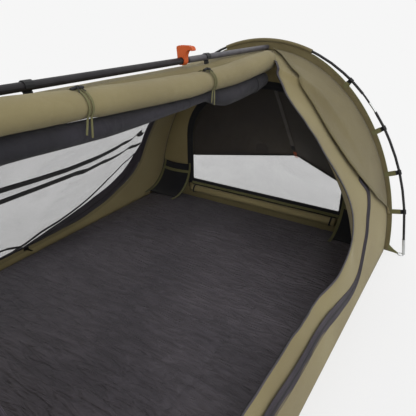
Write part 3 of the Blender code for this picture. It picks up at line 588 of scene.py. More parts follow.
def rowTree():
    # Small rods set end to end along every edge path, such as stitches or zip teeth
    tree = bpy.data.node_groups.new("rowAlongPath", "GeometryNodeTree")
    for label, way, kind in (("Geometry", "INPUT", "Geometry"), ("Spacing", "INPUT", "Float"),
                             ("Rod Length", "INPUT", "Float"), ("Rod Radius", "INPUT", "Float"),
                             ("Rod Material", "INPUT", "Material"), ("Geometry", "OUTPUT", "Geometry")):
        tree.interface.new_socket(name=label, in_out=way, socket_type=f"NodeSocket{kind}")
    given = addNode(tree, "NodeGroupInput")
    curve = addNode(tree, "GeometryNodeMeshToCurve", {"Mesh": given["Geometry"]})
    even = addNode(tree, "GeometryNodeResampleCurve", {"Curve": curve["Curve"], "Length": given["Spacing"]},
                   mode="LENGTH")
    rod = addNode(tree, "GeometryNodeMeshCylinder",
                  {"Vertices": 6, "Radius": given["Rod Radius"], "Depth": given["Rod Length"]})
    tangent = addNode(tree, "GeometryNodeInputTangent")
    turned = addNode(tree, "FunctionNodeAlignRotationToVector", {"Vector": tangent["Tangent"]}, axis="Z")
    rods = addNode(tree, "GeometryNodeInstanceOnPoints",
                   {"Points": even["Curve"], "Instance": rod["Mesh"], "Rotation": turned["Rotation"]})
    real = addNode(tree, "GeometryNodeRealizeInstances", {"Geometry": rods["Instances"]})
    paint = addNode(tree, "GeometryNodeSetMaterial",
                    {"Geometry": real["Geometry"], "Material": given["Rod Material"]})
    addNode(tree, "NodeGroupOutput", {"Geometry": paint["Geometry"]})
    return tree


rowAlongPath = rowTree()


def rowAlong(name, paths, size, material):
    points, edges = [], []
    for path in paths:
        start = len(points)
        points += [tuple(map(float, p)) for p in path]
        edges += [(start + i, start + i + 1) for i in range(len(path) - 1)]
    mesh = bpy.data.meshes.new(name)
    mesh.from_pydata(points, edges, [])
    piece = placed(name, mesh)
    rods = piece.modifiers.new("rods", "NODES")
    rods.node_group = rowAlongPath
    values = {**size, "Rod Material": material}
    for socket in rowAlongPath.interface.items_tree:
        if socket.item_type == "SOCKET" and socket.in_out == "INPUT" and socket.name in values:
            rods[socket.identifier] = values[socket.name]
    return bake(piece)


stitch = {"Spacing": 0.0052, "Rod Length": 0.0036, "Rod Radius": 0.00048}
tooth = {"Spacing": 0.0027, "Rod Length": 0.0016, "Rod Radius": 0.0021}


def stitches(name, paths, material=threadOlive):
    return rowAlong(name, paths, stitch, material)


def teethAlong(name, paths):
    return rowAlong(name, paths, tooth, zipTeeth)


def bothEdges(stations, aside, lift):
    return [shifted(stations, edge * aside, lift) for edge in (-1, 1)]


def settle(piece, slotName, *nodes, bodyName="shelter"):
    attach(piece, bodyName)
    if nodes:
        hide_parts(*nodes)
    return piece


def refined(table, first, last, count):
    # The rows between two places of an edge table drawn as one smooth line
    fine = smoothPath(table[first:last + 1], count)
    fine[:, 0] = np.maximum.accumulate(fine[:, 0] + np.arange(count) * 1e-6)
    fine[:, 1] = np.clip(fine[:, 1], 0.0, 1.0)
    return np.concatenate((table[:first], fine, table[last + 1:]))


nearEdge = refined(refined(nearEdge, 7, 20, 90), 1, 6, 40)
farEdge = refined(refined(farEdge, 7, 14, 90), 1, 6, 40)


# Mattress: a crowned pad whose cover is pulled in at its sides, with one sewn channel

mattress = {"halfLength": 0.985, "halfWidth": 0.735, "low": 0.0045, "edge": 0.071, "crown": 0.006,
            "shrink": 0.003, "corner": 0.012, "voxel": 0.016, "pressure": 4.0, "steps": 20, "cap": 0.006,
            "seamSide": -0.42, "seamDepth": 0.0035, "seamWidth": 0.010, "seamHeight": 0.0775,
            "most": (0.9885, 0.7405, 0.0805), "topFrom": 0.06, "topMost": 0.0012, "crinkle": 0.0011}


def mattressRing(x):
    fall = 1 - abs(x) ** 6
    high = mattress["edge"] + mattress["crown"] * fall
    half = mattress["halfWidth"] - mattress["shrink"] * fall
    deep = high - 0.016 - mattress["low"]
    top = [(y * (half - mattress["corner"]), high - 0.006 * abs(y) ** 8) for y in np.linspace(-1, 1, 31)]
    flank = [(half + 0.001 * math.sin(turn * math.pi), high - 0.008 - deep * turn)
             for turn in (0.25, 0.5, 0.75)]
    base = [(y * (half - 0.010), mattress["low"]) for y in np.linspace(1, -1, 31)]
    outline = top + flank + base + [(-y, z) for y, z in flank[::-1]]
    return [(x * mattress["halfLength"], y, z) for y, z in outline]


def swell(pad):
    # The cover simulated under slight pressure
    cloth = pad.modifiers.new("cover", "CLOTH")
    cloth.settings.use_pressure = True
    cloth.settings.uniform_pressure_force = mattress["pressure"]
    cloth.settings.effector_weights.gravity = 0.0
    cloth.settings.quality = 4
    for step in range(mattress["steps"]):
        bpy.context.scene.frame_set(step + 1)
    bake(pad)
    bpy.context.scene.frame_set(1)


def makeMattress():
    size = mattress
    rows = [mattressRing(x) for x in np.linspace(-1, 1, 41)]
    pad = surface("mattressPad", rows, mattressCover, wrap=True, caps=True)
    remesh = pad.modifiers.new("even", "REMESH")
    remesh.mode = "VOXEL"
    remesh.voxel_size = size["voxel"]
    bake(pad)
    start = cornersOf(pad)
    swell(pad)
    move = cornersOf(pad) - start
    length = np.linalg.norm(move, axis=1, keepdims=True)
    done = start + move * np.minimum(1.0, size["cap"] / np.maximum(length, 1e-9))
    most = np.array(size["most"])
    done = np.clip(done, (-most[0], -most[1], size["low"]), most)
    pad.data.vertices.foreach_set("co", done.ravel())
    soft = pad.modifiers.new("soft", "SUBSURF")
    soft.levels = soft.render_levels = 1
    bake(pad)
    done = cornersOf(pad)
    channel = np.exp(-(((done[:, 1] - size["seamSide"]) / size["seamWidth"]) ** 2))
    for i in np.nonzero(done[:, 2] > size["topFrom"])[0]:
        x, y, _ = done[i]
        waves = bumps(x * 34, y * 11, 3.0) + bumps(x * 15, y * 24, 8.0)
        done[i, 2] += size["crinkle"] * waves - size["seamDepth"] * channel[i]
    done[:, 2] = np.minimum(done[:, 2], most[2] + size["topMost"])
    pad.data.vertices.foreach_set("co", done.ravel())
    pad.data.materials.clear()
    pad.data.materials.append(mattressCover)
    pad.data.shade_smooth()
    pad.data.update()
    settle(pad, "mattress_cover", "mattress")
    path = [(x, size["seamSide"], size["seamHeight"]) for x in np.linspace(-0.96, 0.96, 200)]
    settle(stitches("mattressChannelStitches", [path], threadDark), "mattress_cover")


makeMattress()
print("mattress made")


# Side canvases with their hems, bindings and zips

side = {"rows": 34, "thickness": 0.0022, "wave": 0.0035, "edgeWave": 0.004, "hemWidth": 0.022,
        "nearSpan": (-0.9740, 0.8572, 420), "farSpan": (-0.9601, 0.8029, 460),
        "flat": {"near": (1.295, 2.056), "far": (1.16, 2.056)}, "area": {"near": 1.176, "far": 0.735}}


def sideStations(shares):
    places = list(np.linspace(-body["halfLength"], body["halfLength"], 130))
    places += list(np.linspace(-0.975, -0.84, 26)) + list(np.linspace(0.70, 0.88, 24))
    places += [share * body["halfLength"] for share in shares[:, 0]]
    return sorted(set(round(x, 5) for x in places))


def sideWave(x, share, shares, sign):
    # Slow dents in the cloth, none at the hoop seams, and a looser free edge
    edge, _ = edgeAt(x, shares)
    fade = ramp(body["halfLength"] - abs(x), 0.0, 0.06) * ramp(share, 0.0, 0.25)
    seed = 4.0 if sign < 0 else 17.0
    slow = ripple(x, share * edge, seed, (3.4, 2.6)) * side["wave"]
    free = ripple(x, 0.3, seed + 5, (7.0, 1.0)) * side["edgeWave"] * share**4
    return fade * (slow + free - side["wave"] * 0.4)


def makeSide(label, shares, sign):
    rows = []
    for x in sideStations(shares):
        row = []
        for share in np.arange(side["rows"] + 1) / side["rows"]:
            angle = share * edgeAt(x, shares)[0]
            out = np.array((0.0, sign * math.cos(angle), math.sin(angle)))
            row.append(sidePoint(x, share, shares, sign) + out * sideWave(x, share, shares, sign))
        rows.append(row)
    piece = surface(f"{label}SideCanvas", rows, canvasOutside, facing=(0, sign, 0.4))
    thicken(piece, side["thickness"], litCanvasInside)
    settle(piece, "canvas", f"{label}_side_canvas")


def edgeStations(shares, sign, low, high, count):
    # Frames along a side's free edge: across points down into the canvas, out away from it
    xs = np.concatenate((np.linspace(low, high, 200), shares[:, 0] * body["halfLength"]))
    xs = sorted(x for x in set(np.round(xs, 5)) if low <= x <= high)
    path = smoothPath([sidePoint(x, 1.0, shares, sign) for x in xs], count)
    stations = [(point + out * sideWave(point[0], 1.0, shares, sign), across, out)
                for point, across, out in framesAlong(path, archWay(sign))]
    if stations[len(stations) // 2][1][2] > 0:
        stations = [(p, -a, o) for p, a, o in stations]
    return stations


makeSide("near", nearEdge, -1)
makeSide("far", farEdge, 1)
print("side canvases made")


def makeNearEdge():
    stations = edgeStations(nearEdge, -1, *side["nearSpan"])
    wide = side["hemWidth"]
    hem = sweep("nearHem", stations, flatProfile(wide, 0.0012, wide / 2 + 0.001, 0.0002), canvasOutside)
    tape = sweep("nearEdgeTape", stations, flatProfile(0.011, 0.0024, 0.0015, -0.0006), zipTape)
    run = [shifted(stations, -0.0042, 0.0006)]
    teeth = rowAlong("nearEdgeTeeth", run, {**tooth, "Spacing": 0.0026}, zipTeeth)
    seams = [shifted(stations, wide - 0.003, 0.0016), shifted(stations, 0.0105, 0.0018)]
    sewn = stitches("nearHemStitches", seams)
    settle(hem, "canvas")
    settle(joined("nearEdgeZip", [tape, teeth]), "canvas")
    settle(sewn, "canvas")


# The path is (x, degrees up the arch); spread is where the tape widens, and its widest
outerZip = {"width": 0.040, "thickness": 0.0018, "spread": (0.62, 0.20, 1.55),
            "ribs": (-0.0170, -0.0110, -0.0055, 0.0055, 0.0110, 0.0170),
            "path": [(0.72, 31.5), (0.765, 26.0), (0.735, 22.6), (0.690, 20.0), (0.650, 17.2), (0.592, 14.5),
                     (0.536, 11.6), (0.475, 9.2), (0.36, 8.6), (0.23, 9.4), (0.014, 10.6), (-0.16, 10.4),
                     (-0.37, 10.9), (-0.60, 10.6), (-0.80, 11.2), (-0.905, 14.5), (-0.958, 22.0),
                     (-0.978, 38.0), (-0.982, 60.0), (-0.980, 80.0)]}


def makeOuterZip():
    size = outerZip
    rough = [surfaceAt(x, math.radians(degrees), nearEdge, -1) for x, degrees in size["path"]]
    places = []
    for x, _, z in smoothPath(rough, 420):
        angle = math.asin(min(0.999, z / crownHeight(x)))
        lift = sideWave(x, shareAt(x, angle, nearEdge), nearEdge, -1) + 0.0004
        places.append(surfaceAt(x, angle, nearEdge, -1, lift))
    stations = framesAlong(places, archWay(-1))
    # The tape lies folded at the head end and opens out flat from there on
    start, end, wide = size["spread"]
    spread = [1 + (wide - 1) * ramp(-point[0], -start, -end) for point in places]
    profile = flatProfile(size["width"], size["thickness"])
    tape = sweep("outerZipTape", stations, profile, zipTape, scales=spread)
    ribs = [sweep(f"outerZipRib{i}", stations, roundProfile(0.0013, 8, aside, size["thickness"]), zipTape,
                  scales=spread) for i, aside in enumerate(size["ribs"])]
    teeth = teethAlong("outerZipTeeth", bothEdges(stations, 0.0028, 0.0026))
    settle(joined("outerZip", [tape, *ribs, teeth]), "canvas")


# The edge is (degrees up the arch, x)
flap = {"lift": 0.0035, "rise": 0.014, "ripple": 0.004, "least": 0.0025, "thickness": 0.002, "seamX": 1.0272,
        "flat": (0.39, 1.10), "area": 0.28,
        "edge": [(13.0, 1.0255), (15.3, 1.000), (19.0, 0.912), (23.2, 0.819), (29.0, 0.734), (33.0, 0.683),
                 (37.0, 0.652), (40.8, 0.643), (46.2, 0.656), (52.3, 0.695), (59.2, 0.739), (66.0, 0.780),
                 (73.1, 0.828), (80.0, 0.922), (86.0, 0.985)]}


def flapPoint(x, degrees, free):
    # free is 1 at the flap's loose edge and 0 at the hoop seam
    angle = math.radians(degrees)
    lift = flap["lift"] + flap["rise"] * free**3 + ripple(x, angle, 31.0, (4.0, 3.0)) * flap["ripple"] * free
    lift += sideWave(x, shareAt(x, angle, nearEdge), nearEdge, -1)
    return surfaceAt(x, angle, nearEdge, -1, max(lift, flap["least"]))


def makeFlap():
    marks, starts = np.array(flap["edge"]).T
    rows = []
    for degrees in np.linspace(marks[0], marks[-1], 74):
        start = float(np.interp(degrees, marks, starts))
        rows.append([flapPoint(start + (flap["seamX"] - start) * s, degrees, 1 - s)
                     for s in np.linspace(0, 1, 22)])
    piece = surface("headStormFlap", rows, shadedCanvas, facing=(0, -1, 0.6))
    thicken(piece, flap["thickness"], litCanvasInside)
    settle(piece, "canvas")
    stations = framesAlong(smoothPath([row[0] for row in rows], 240), archWay(-1))
    sign = 1.0 if stations[120][1][0] > 0 else -1.0
    settle(stitches("flapStitches", [shifted(stations, sign * 0.006, 0.0006),
                                     shifted(stations, sign * 0.016, 0.0003)]), "canvas")


makeNearEdge()
makeOuterZip()
makeFlap()
print("near zips and flap made")


# Far side: olive binding, dark zip tape standing above it, then the net with its tapes

net = {"rollHigh": 0.70, "rollLow": -0.90, "low": -0.945, "high": 0.796, "top": 0.03, "drop": 0.009,
       "bulge": (0.03, 0.14), "bulgeReach": (0.10, 0.80), "flat": (1.19, 1.741), "area": 2.02}


def stripCrown(x):
    return 0.9725 + 0.0115 * ramp(abs(x), 0.45, 0.55)


def netPoint(x, share):
    beyond = max(ramp(x, net["rollHigh"], body["riseStart"]), ramp(-x, -net["rollLow"], -net["low"]))
    roof = stripCrown(x) + (crownHeight(x) * math.sin(topAngle) - stripCrown(x)) * beyond
    start = net["top"] + (body["stripHalf"] - net["top"]) * beyond
    top = np.array((start, roof - 0.003 - net["drop"]))
    edges = [sidePoint(x + shift, 1.0, farEdge, 1)[1:] for shift in (-0.0012, 0.0, 0.0012)]
    low = max(edges, key=lambda edge: edge[1])
    along = low - top
    along = along / np.hypot(*along)
    out = np.array((-along[1], along[0]))
    low = low - along * 0.0016
    bulge = net["bulge"][0] + (net["bulge"][1] - net["bulge"][0]) * ramp(x, *net["bulgeReach"])
    even, lower = 4 * share * (1 - share), 27 / 4 * share**2 * (1 - share)
    swelling = lower + (even - lower) * ramp(x, net["rollHigh"], body["riseStart"])
    across, height = top + (low - top) * share + out * bulge * swelling
    return np.array((x, across, height)), np.array((0.0, *out))


def netPath(places, count, lift):
    # More places between the table's own keep the tape on the net where the net turns
    marks = np.linspace(0, len(places) - 1, 6 * len(places) - 5)
    found = [netPoint(x, share) for x, share in between(marks, range(len(places)), places)]
    outs = [out for _, out in found]
    path = smoothPath([point for point, _ in found], count)
    ways = between(np.linspace(0, len(outs) - 1, count), range(len(outs)), outs)
    return [(point + out * lift, across, out) for point, across, out in framesAlong(path, ways)]


def shareAtHeight(x, height):
    shares = np.linspace(0.0, 1.0, 120)
    heights = np.array([netPoint(x, s)[0][2] for s in shares])
    return float(np.interp(-height, -heights, shares))


# Each tape's places are (x, share of the way down the net)
netTapes = {"width": 0.038, "thickness": 0.0012, "slim": {"left": 0.5, "inner": 0.8},
            "upper": [(-0.925, 0.45), (-0.60, 0.445), (-0.364, 0.445), (-0.189, 0.463), (-0.049, 0.472),
                      (0.092, 0.468), (0.347, 0.50), (0.60, 0.62), (0.70, 0.745), (0.745, 0.79)],
            "lower": [(-0.925, 0.54), (-0.60, 0.532), (-0.337, 0.532), (-0.136, 0.535), (0.032, 0.535),
                      (0.246, 0.575), (0.45, 0.665), (0.615, 0.760), (0.70, 0.83), (0.745, 0.86)],
            "inner": [(-0.30, 0.998), (-0.16, 0.992), (-0.082, 0.972), (0.0, 0.938), (0.146, 0.914),
                      (0.300, 0.889), (0.468, 0.862), (0.60, 0.868), (0.69, 0.888), (0.749, 0.905)],
            "left": [(-0.925, 0.93), (-0.60, 0.925), (-0.30, 0.925), (-0.19, 0.945), (-0.10, 0.985)],
            "bandTop": ([-0.90, -0.10, 0.0, 0.092, 0.226, 0.354, 0.494, 0.608, 0.69, 0.745],
                        [0.978, 0.985, 0.957, 0.932, 0.912, 0.905, 0.915, 0.920, 0.90, 0.86])}


def makeFarNet():
    xs = np.concatenate((np.linspace(net["low"], net["high"], 110), farEdge[2:-1, 0] * body["halfLength"]))
    rows = [[netPoint(x, s)[0] for s in np.linspace(0, 1, 30)] for x in sorted(set(np.round(xs, 5)))
            if net["low"] <= x <= net["high"]]
    piece = surface("farNet", rows, farNetCloth, facing=(0, 1, 1))
    settle(piece, "net", "far_mesh_door")
    thick = netTapes["thickness"]
    tapes, seams = [], []
    for label in ("upper", "lower", "inner", "left"):
        stations = netPath(netTapes[label], 220, -thick / 2)
        slim = netTapes["slim"].get(label, 1.0)
        profile = flatProfile(netTapes["width"] * slim, thick)
        tapes.append(sweep(f"netTape{label}", stations, profile, bindingBlack))
        seams += [shifted(stations, edge * 0.010 * slim, lift)
                  for edge in (-1, 1) for lift in (thick * 1.1, -0.0002)]
    settle(joined("netTapes", tapes), "webbing")
    settle(stitches("netTapeStitches", seams, threadDark), "webbing")


farZip = {"low": -0.90, "high": 0.760, "upright": 0.752, "rimFrom": 0.755, "thickness": 0.0012,
          "inside": 0.0030, "uprightInside": 0.0026, "way": (0.0, -0.8, -0.5)}


def makeFarEdge():
    stations = edgeStations(farEdge, 1, *side["farSpan"])
    hem = sweep("farHem", stations, flatProfile(0.018, 0.0012, 0.010, 0.0002), canvasOutside)
    inside = [(p, a, -o) for p, a, o in stations]
    lining = sweep("farHemLining", inside, flatProfile(0.020, 0.0012, 0.011, 0.0024), canvasRolled)
    sewn = stitches("farHemStitches", [shifted(stations, 0.017, 0.0016), shifted(inside, 0.019, 0.0038)])
    settle(joined("farHems", [hem, lining]), "canvas")
    settle(sewn, "canvas")
    # The zip's tape stands on the net along the canvas, widest beside the door's slit
    rows = []
    for x in np.linspace(farZip["low"], farZip["high"], 110):
        top = float(np.interp(x, *netTapes["bandTop"]))
        found = [netPoint(x, share) for share in np.linspace(top, 1.0, 6)]
        rows.append([point - out * farZip["inside"] for point, out in found])
    band = surface("farZipBand", rows, zipTape, facing=(0, 1, 1))
    thicken(band, farZip["thickness"])
    run = framesAlong(smoothPath([row[3] for row in rows], 240), farZip["way"])
    # Beside the hoop it spans from the net to the canvas's edge
    rim = np.array([p for p, _, _ in stations if p[0] > farZip["rimFrom"]])
    rim = rim[np.argsort(rim[:, 2])]
    rows = []
    for height in np.linspace(rim[0][2] + 0.002, rim[-1][2] - 0.004, 80):
        edge = between(height, rim[:, 2], rim)
        point, out = netPoint(farZip["upright"], shareAtHeight(farZip["upright"], height))
        rows.append([point + (edge - point) * s - out * farZip["uprightInside"]
                     for s in np.linspace(0, 1, 6)])
    upright = surface("farZipUpright", rows, zipTape, facing=(0, 1, 1))
    thicken(upright, farZip["thickness"])
    low = framesAlong(smoothPath([row[3] for row in rows], 120), farZip["way"])
    teeth = teethAlong("farZipTeeth", [shifted(way, 0.0, farZip["thickness"]) for way in (run, low)])
    tape = joined("farZipTapes", [band, upright])
    settle(joined("farZip", [tape, teeth]), "webbing")


makeFarNet()
makeFarEdge()
print("far net made")


# Roof strip and the rolled doors under it

roof = {"thickness": 0.0022, "stepAside": 0.009, "lean": math.radians(127), "settle": 0.0008,
        "marks": [-0.939, -0.948, 0.8462, 0.854, -0.9012, 0.7012, -0.9], "flat": (0.19, 2.056), "area": 0.375}
nearRoll = {"side": -0.072, "height": 0.953, "low": -0.93, "high": 0.885, "radius": 0.0475, "pitch": 0.0070,
            "turns": 5.6, "pinch": 0.0045, "start": math.radians(21), "flat": (1.08, 1.815), "area": 1.68,
            "sag": ([-0.93, -0.573, -0.431, -0.254, -0.026, 0.189, 0.513, 0.72, 0.90],
                    [0.0, 0.001, 0.007, 0.018, 0.028, 0.035, 0.030, 0.016, 0.004])}
farRoll = {"low": -0.90, "high": 0.70, "radius": 0.0485, "pitch": 0.0054, "turns": 7.2, "share": 0.15,
           "clear": 0.006, "start": math.radians(127), "flat": (1.25, 1.76), "area": 2.11}
netRoll = {"side": -0.06, "low": -0.92, "high": 0.86, "radius": 0.040, "pitch": 0.00415, "turns": 7.8,
           "start": math.radians(62), "flat": (1.08, 1.80), "area": 1.63,
           "radii": ([-0.92, -0.60, -0.42, -0.24, -0.05, 0.10, 0.24, 0.33, 0.40, 0.48, 0.64, 0.80, 0.86],
                     [0.040, 0.036, 0.036, 0.034, 0.028, 0.023, 0.019, 0.018, 0.032, 0.042, 0.043,
                      0.041, 0.037])}


def rollSag(x):
    # The near roll hangs a little between the hoops
    return float(np.interp(x, *nearRoll["sag"]))


def nearRollCentre(x):
    return np.array((x, nearRoll["side"], nearRoll["height"] - rollSag(x)))


def farRollCentre(x):
    point, out = netPoint(x, farRoll["share"])
    return point + out * (farRoll["radius"] + farRoll["clear"])


def netRollRadius(x):
    return float(np.interp(x, *netRoll["radii"]))


def makeRoofStrip():
    size = roof
    rows = []
    for x in sorted(set(np.round(np.concatenate((np.linspace(-1.028, 1.028, 150), size["marks"])), 5))):
        crown = stripCrown(x)
        brow = crownHeight(x) * math.sin(topAngle)
        near = (0.0015 - body["stripHalf"], brow)
        if nearRoll["low"] - size["stepAside"] <= x <= nearRoll["high"] - 0.04:
            rise = min(crown - 0.003 - nearRoll["height"], nearRoll["radius"] * 0.9)
            reach = math.sqrt((nearRoll["radius"] + 0.0003) ** 2 - rise**2)
            near = (reach + nearRoll["side"], crown - rollSag(x))
        beyond = max(ramp(x, farRoll["high"] + 0.0012, body["riseStart"]),
                     ramp(-x, 0.0012 - farRoll["low"], size["stepAside"] - net["low"]))
        centre = farRollCentre(min(max(x, farRoll["low"]), farRoll["high"]))
        reach = farRoll["radius"] + 0.003 - size["settle"]
        byRoll = centre[1:] + reach * np.array((math.cos(size["lean"]), math.sin(size["lean"])))
        far = byRoll + (np.array((body["stripHalf"] - 0.0015, brow)) - byRoll) * beyond
        row = [(near[0] * s, crown + (near[1] - crown) * s**1.6) for s in (1.0, 0.75, 0.5, 0.25)]
        row.append((0.0, crown))
        start = min(net["top"], far[0] / 2)
        row += [(start + (far[0] - start) * s, crown + (far[1] - crown) * s**2)
                for s in np.linspace(0, 1, 9)]
        dent = ripple(x, 0.0, 41.0, (5.0, 1.0)) * 0.0012 - 0.0006
        rows.append([(x, y, z + dent) for y, z in row])
    piece = surface("roofStrip", rows, canvasRolled, facing=(0, 0, 1))
    thicken(piece, size["thickness"], litCanvasInside)
    settle(piece, "canvas", "roof_strip")


def pinchAt(x, tiePlace):
    return nearRoll["pinch"] * math.exp(-(((abs(x) - tiePlace) / winding["pinchReach"]) ** 2))


winding = {"steps": 26, "slow": 0.045, "quick": 0.022, "drawn": 0.016, "pinchReach": 0.035}


def rollRow(centre, size, radius, way, seed):
    # One wound turn after another, from the loose outer end to the core
    x = centre[0]
    points = []
    count = int(size["turns"] * winding["steps"])
    for i in range(count + 1):
        wound = 2 * math.pi * size["turns"] * i / count
        angle = size["start"] + way * wound
        r = radius * (1 - size["pitch"] * wound / (2 * math.pi) / size["radius"])
        around = bumps(x * 4.5, math.cos(angle) * 0.9, math.sin(angle) * 0.9 + seed)
        twist = bumps(x * 16 + angle * 0.6, math.cos(angle) * 1.6, math.sin(angle) * 1.6 + seed)
        r *= 1 + winding["slow"] * around + winding["quick"] * twist - winding["drawn"]
        points.append((x, centre[1] + r * math.cos(angle), centre[2] + r * math.sin(angle)))
    return points


def makeRoll(name, node, size, centres, radii, way, material, slotName, thickness):
    rows = [rollRow(centre, size, radius, way, len(name)) for centre, radius in zip(centres, radii)]
    middle = np.mean(centres, axis=0)
    facing = lambda p: (0, p[1] - middle[1], p[2] - middle[2])
    piece = surface(name, rows, material, sharp=60, facing=facing)
    thicken(piece, thickness)
    settle(piece, slotName, node)


def makeRolls():
    xs = np.linspace(nearRoll["low"], nearRoll["high"], 110)
    radii = [nearRoll["radius"] - pinchAt(x, 0.32) + 0.0045 * ramp(x, 0.40, 0.60) for x in xs]
    makeRoll("nearDoorRoll", "near_door_roll", nearRoll, [nearRollCentre(x) for x in xs], radii, 1,
             canvasRolled, "canvas", 0.0018)
    xs = np.linspace(farRoll["low"], farRoll["high"], 90)
    radii = [farRoll["radius"] - pinchAt(x, 0.36) for x in xs]
    makeRoll("farDoorRoll", "far_door_roll", farRoll, [farRollCentre(x) for x in xs], radii, -1,
             canvasRolled, "canvas", 0.0018)
    xs = np.linspace(netRoll["low"], netRoll["high"], 110)
    aside = netRoll["side"] - nearRoll["side"]
    centres = []
    for x in xs:
        reach = nearRoll["radius"] + netRollRadius(x) - 0.0009
        centres.append((x, netRoll["side"], nearRoll["height"] - rollSag(x) - math.sqrt(reach**2 - aside**2)))
    makeRoll("nearNetRoll", "near_mesh_roll", netRoll, centres, [netRollRadius(x) for x in xs], 1,
             rolledNetCloth, "net", 0.0012)


tie = {"strap": 0.008, "thickness": 0.0016, "spread": 0.011, "toggle": 0.046, "tail": 0.046,
       "shape": [0.72, 0.95, 1.0, 0.9, 0.78, 0.72, 0.78, 0.9, 1.0, 0.95, 0.72]}
toggleMarks = np.linspace(-0.5, 0.5, 11) * tie["toggle"]


def makeToggle(name, ends):
    stations = framesAlong(ends, (0, 0, 1))
    return sweep(name, stations, roundProfile(0.0052, 14), plasticBlack, scales=tie["shape"])


def makeCord(name, points, count, radius, way):
    return sweep(name, framesAlong(smoothPath(points, count), way), roundProfile(radius, 8), cordBlack)


def makeTie(name, place, node):
    parts = []
    radius = nearRoll["radius"] - nearRoll["pinch"] + 0.0008
    centre = nearRollCentre(place)
    for number, aside in enumerate((-tie["spread"] / 2, tie["spread"] / 2)):
        path, outs = [], []
        for t in np.linspace(math.radians(40), math.radians(222), 40):
            out = np.array((0.0, math.cos(t), math.sin(t)))
            lean = aside * 1.3 + 0.012 * math.sin((t - 1.5) * 0.9) - 0.006
            path.append(centre + (lean, 0, 0) + out * (radius + 0.0012 * abs(math.sin(t))))
            outs.append(out)
        drop = np.linspace(0.12, 1, 8)[:, None]
        down = path[-1] + drop * (-0.014 + 0.006 * number, -0.004, -tie["tail"] - 0.012 * number)
        outs += [(0.0, -1.0, -0.2)] * len(down)
        stations = framesAlong(np.concatenate((path, down)), np.array(outs))
        profile = flatProfile(tie["strap"], tie["thickness"])
        parts.append(sweep(f"{name}Strap{number}", stations, profile, webbingOlive))
        rows = bothEdges(stations, 0.0028, tie["thickness"] + 0.0002)
        parts.append(stitches(f"{name}Sewing{number}", rows))
    top = centre + (-0.006, -0.010, radius + 0.0050)
    ends = [top + (a, 0.0005 * abs(a) * 100, 0.0012 * math.cos(a * 120)) for a in toggleMarks]
    parts.append(makeToggle(f"{name}Toggle", ends))
    for number, aside in enumerate((-0.003, 0.003)):
        loop = [(aside * 4, -0.020, -0.008), (aside * 1.5, -0.008, 0.001), (aside, 0.001, 0.0055),
                (aside * 1.2, 0.012, -0.001), (aside * 2, 0.022, -0.012)]
        loop = [top + place for place in loop]
        parts.append(makeCord(f"{name}Cord{number}", loop, 24, 0.0014, (1, 0, 0)))
    settle(joined(name, parts), "webbing", node)


def makeFarTie(name, place):
    # The far roll's tie: its toggle and cord show just above the strip
    centre = farRollCentre(place)
    radius = farRoll["radius"] - nearRoll["pinch"] + 0.0008
    turns = np.linspace(math.radians(128), math.radians(-150), 44)
    path, outs = ringPoints(centre, radius + 0.001, turns, (0, 1, 0), (0, 0, 1))
    strap = sweep(f"{name}Strap", framesAlong(path, outs), flatProfile(0.012, 0.0016), webbingOlive)
    top = centre + (0.0, radius * math.cos(2.0), radius * math.sin(2.0)) + (0, 0.002, 0.008)
    toggle = makeToggle(f"{name}Toggle", [top + (a, 0, 0.004 * a / tie["toggle"]) for a in toggleMarks])
    loop = [top + (0.0, aside, lift) for aside, lift in ((-0.016, -0.004), (-0.006, 0.005), (0.004, 0.005),
                                                         (0.014, -0.006))]
    cord = makeCord(f"{name}Cord", loop, 20, 0.0015, (1, 0, 0))
    settle(joined(name, [strap, toggle, cord]), "webbing")


def makeNetStrap():
    # Dark strap round the net roll's head end
    x = 0.745
    radius = netRollRadius(x) + 0.0006
    reach = math.sqrt((nearRoll["radius"] + radius - 0.0015) ** 2 - 0.012**2)
    centre = (x, netRoll["side"], nearRoll["height"] - rollSag(x) - reach)
    ring, outs = ringPoints(centre, radius, fullTurn(48), (0, 1, 0), (0, 0, 1))
    ring = np.array(ring) + 0.004 * np.sin(fullTurn(48))[:, None] * (1, 0, 0)
    stations = framesAlong(ring, outs, closed=True)
    strap = sweep("netRollStrap", stations, flatProfile(0.020, 0.0018), bindingBlack, closed=True)
    settle(strap, "dark_cloth")


makeRoofStrip()
makeRolls()
makeTie("rollTieHead", 0.32, "near_roll_tie_head")
makeTie("rollTieFoot", -0.335, "near_roll_tie_foot")
makeFarTie("farTieHead", 0.20)
makeFarTie("farTieFoot", -0.395)
makeNetStrap()
print("roof and rolls made")


# End walls, head window, its net, binding and rolled cover

wall = {"half": 0.75, "height": 1.009, "thickness": 0.0022, "dent": 0.0022, "middle": 0.45,
        "flat": (1.50, 1.008), "area": {"head": 0.62, "foot": 1.19}}
window = {"half": 0.50, "sill": 0.15, "shoulder": 0.4545, "top": 0.80, "corner": 0.02, "binding": 0.044,
          "lap": 0.016, "flat": (1.0, 0.65), "area": 0.57}


def windowLoop(count):
    # Around the window from the middle of its sill, anticlockwise seen from inside the shelter
    half, sillHeight, corner, shoulder = window["half"], window["sill"], window["corner"], window["shoulder"]
    points = [(0.0, sillHeight), (half / 2, sillHeight), (half - corner, sillHeight),
              (half - corner * 0.3, sillHeight + corner * 0.3), (half, sillHeight + corner),
              (half, (sillHeight + shoulder) / 2)]
    points += [(half * math.cos(t), shoulder + (window["top"] - shoulder) * math.sin(t))
               for t in np.linspace(0, math.pi, 25)]
    points += [(-a, b) for a, b in points[1:6][::-1]]
    return evenly([(0.0, a, b) for a, b in points + [points[0]]], count)


def wallOutline(count):
    low, rise = body["hemLift"], wall["height"] - body["hemLift"]
    turns = np.linspace(0, math.pi, 121)
    points = [(0.0, wall["half"] * math.cos(t), low + rise * math.sin(t)) for t in turns]
    return evenly([(0.0, 0.0, low)] + points + [(0.0, 0.0, low)], count)


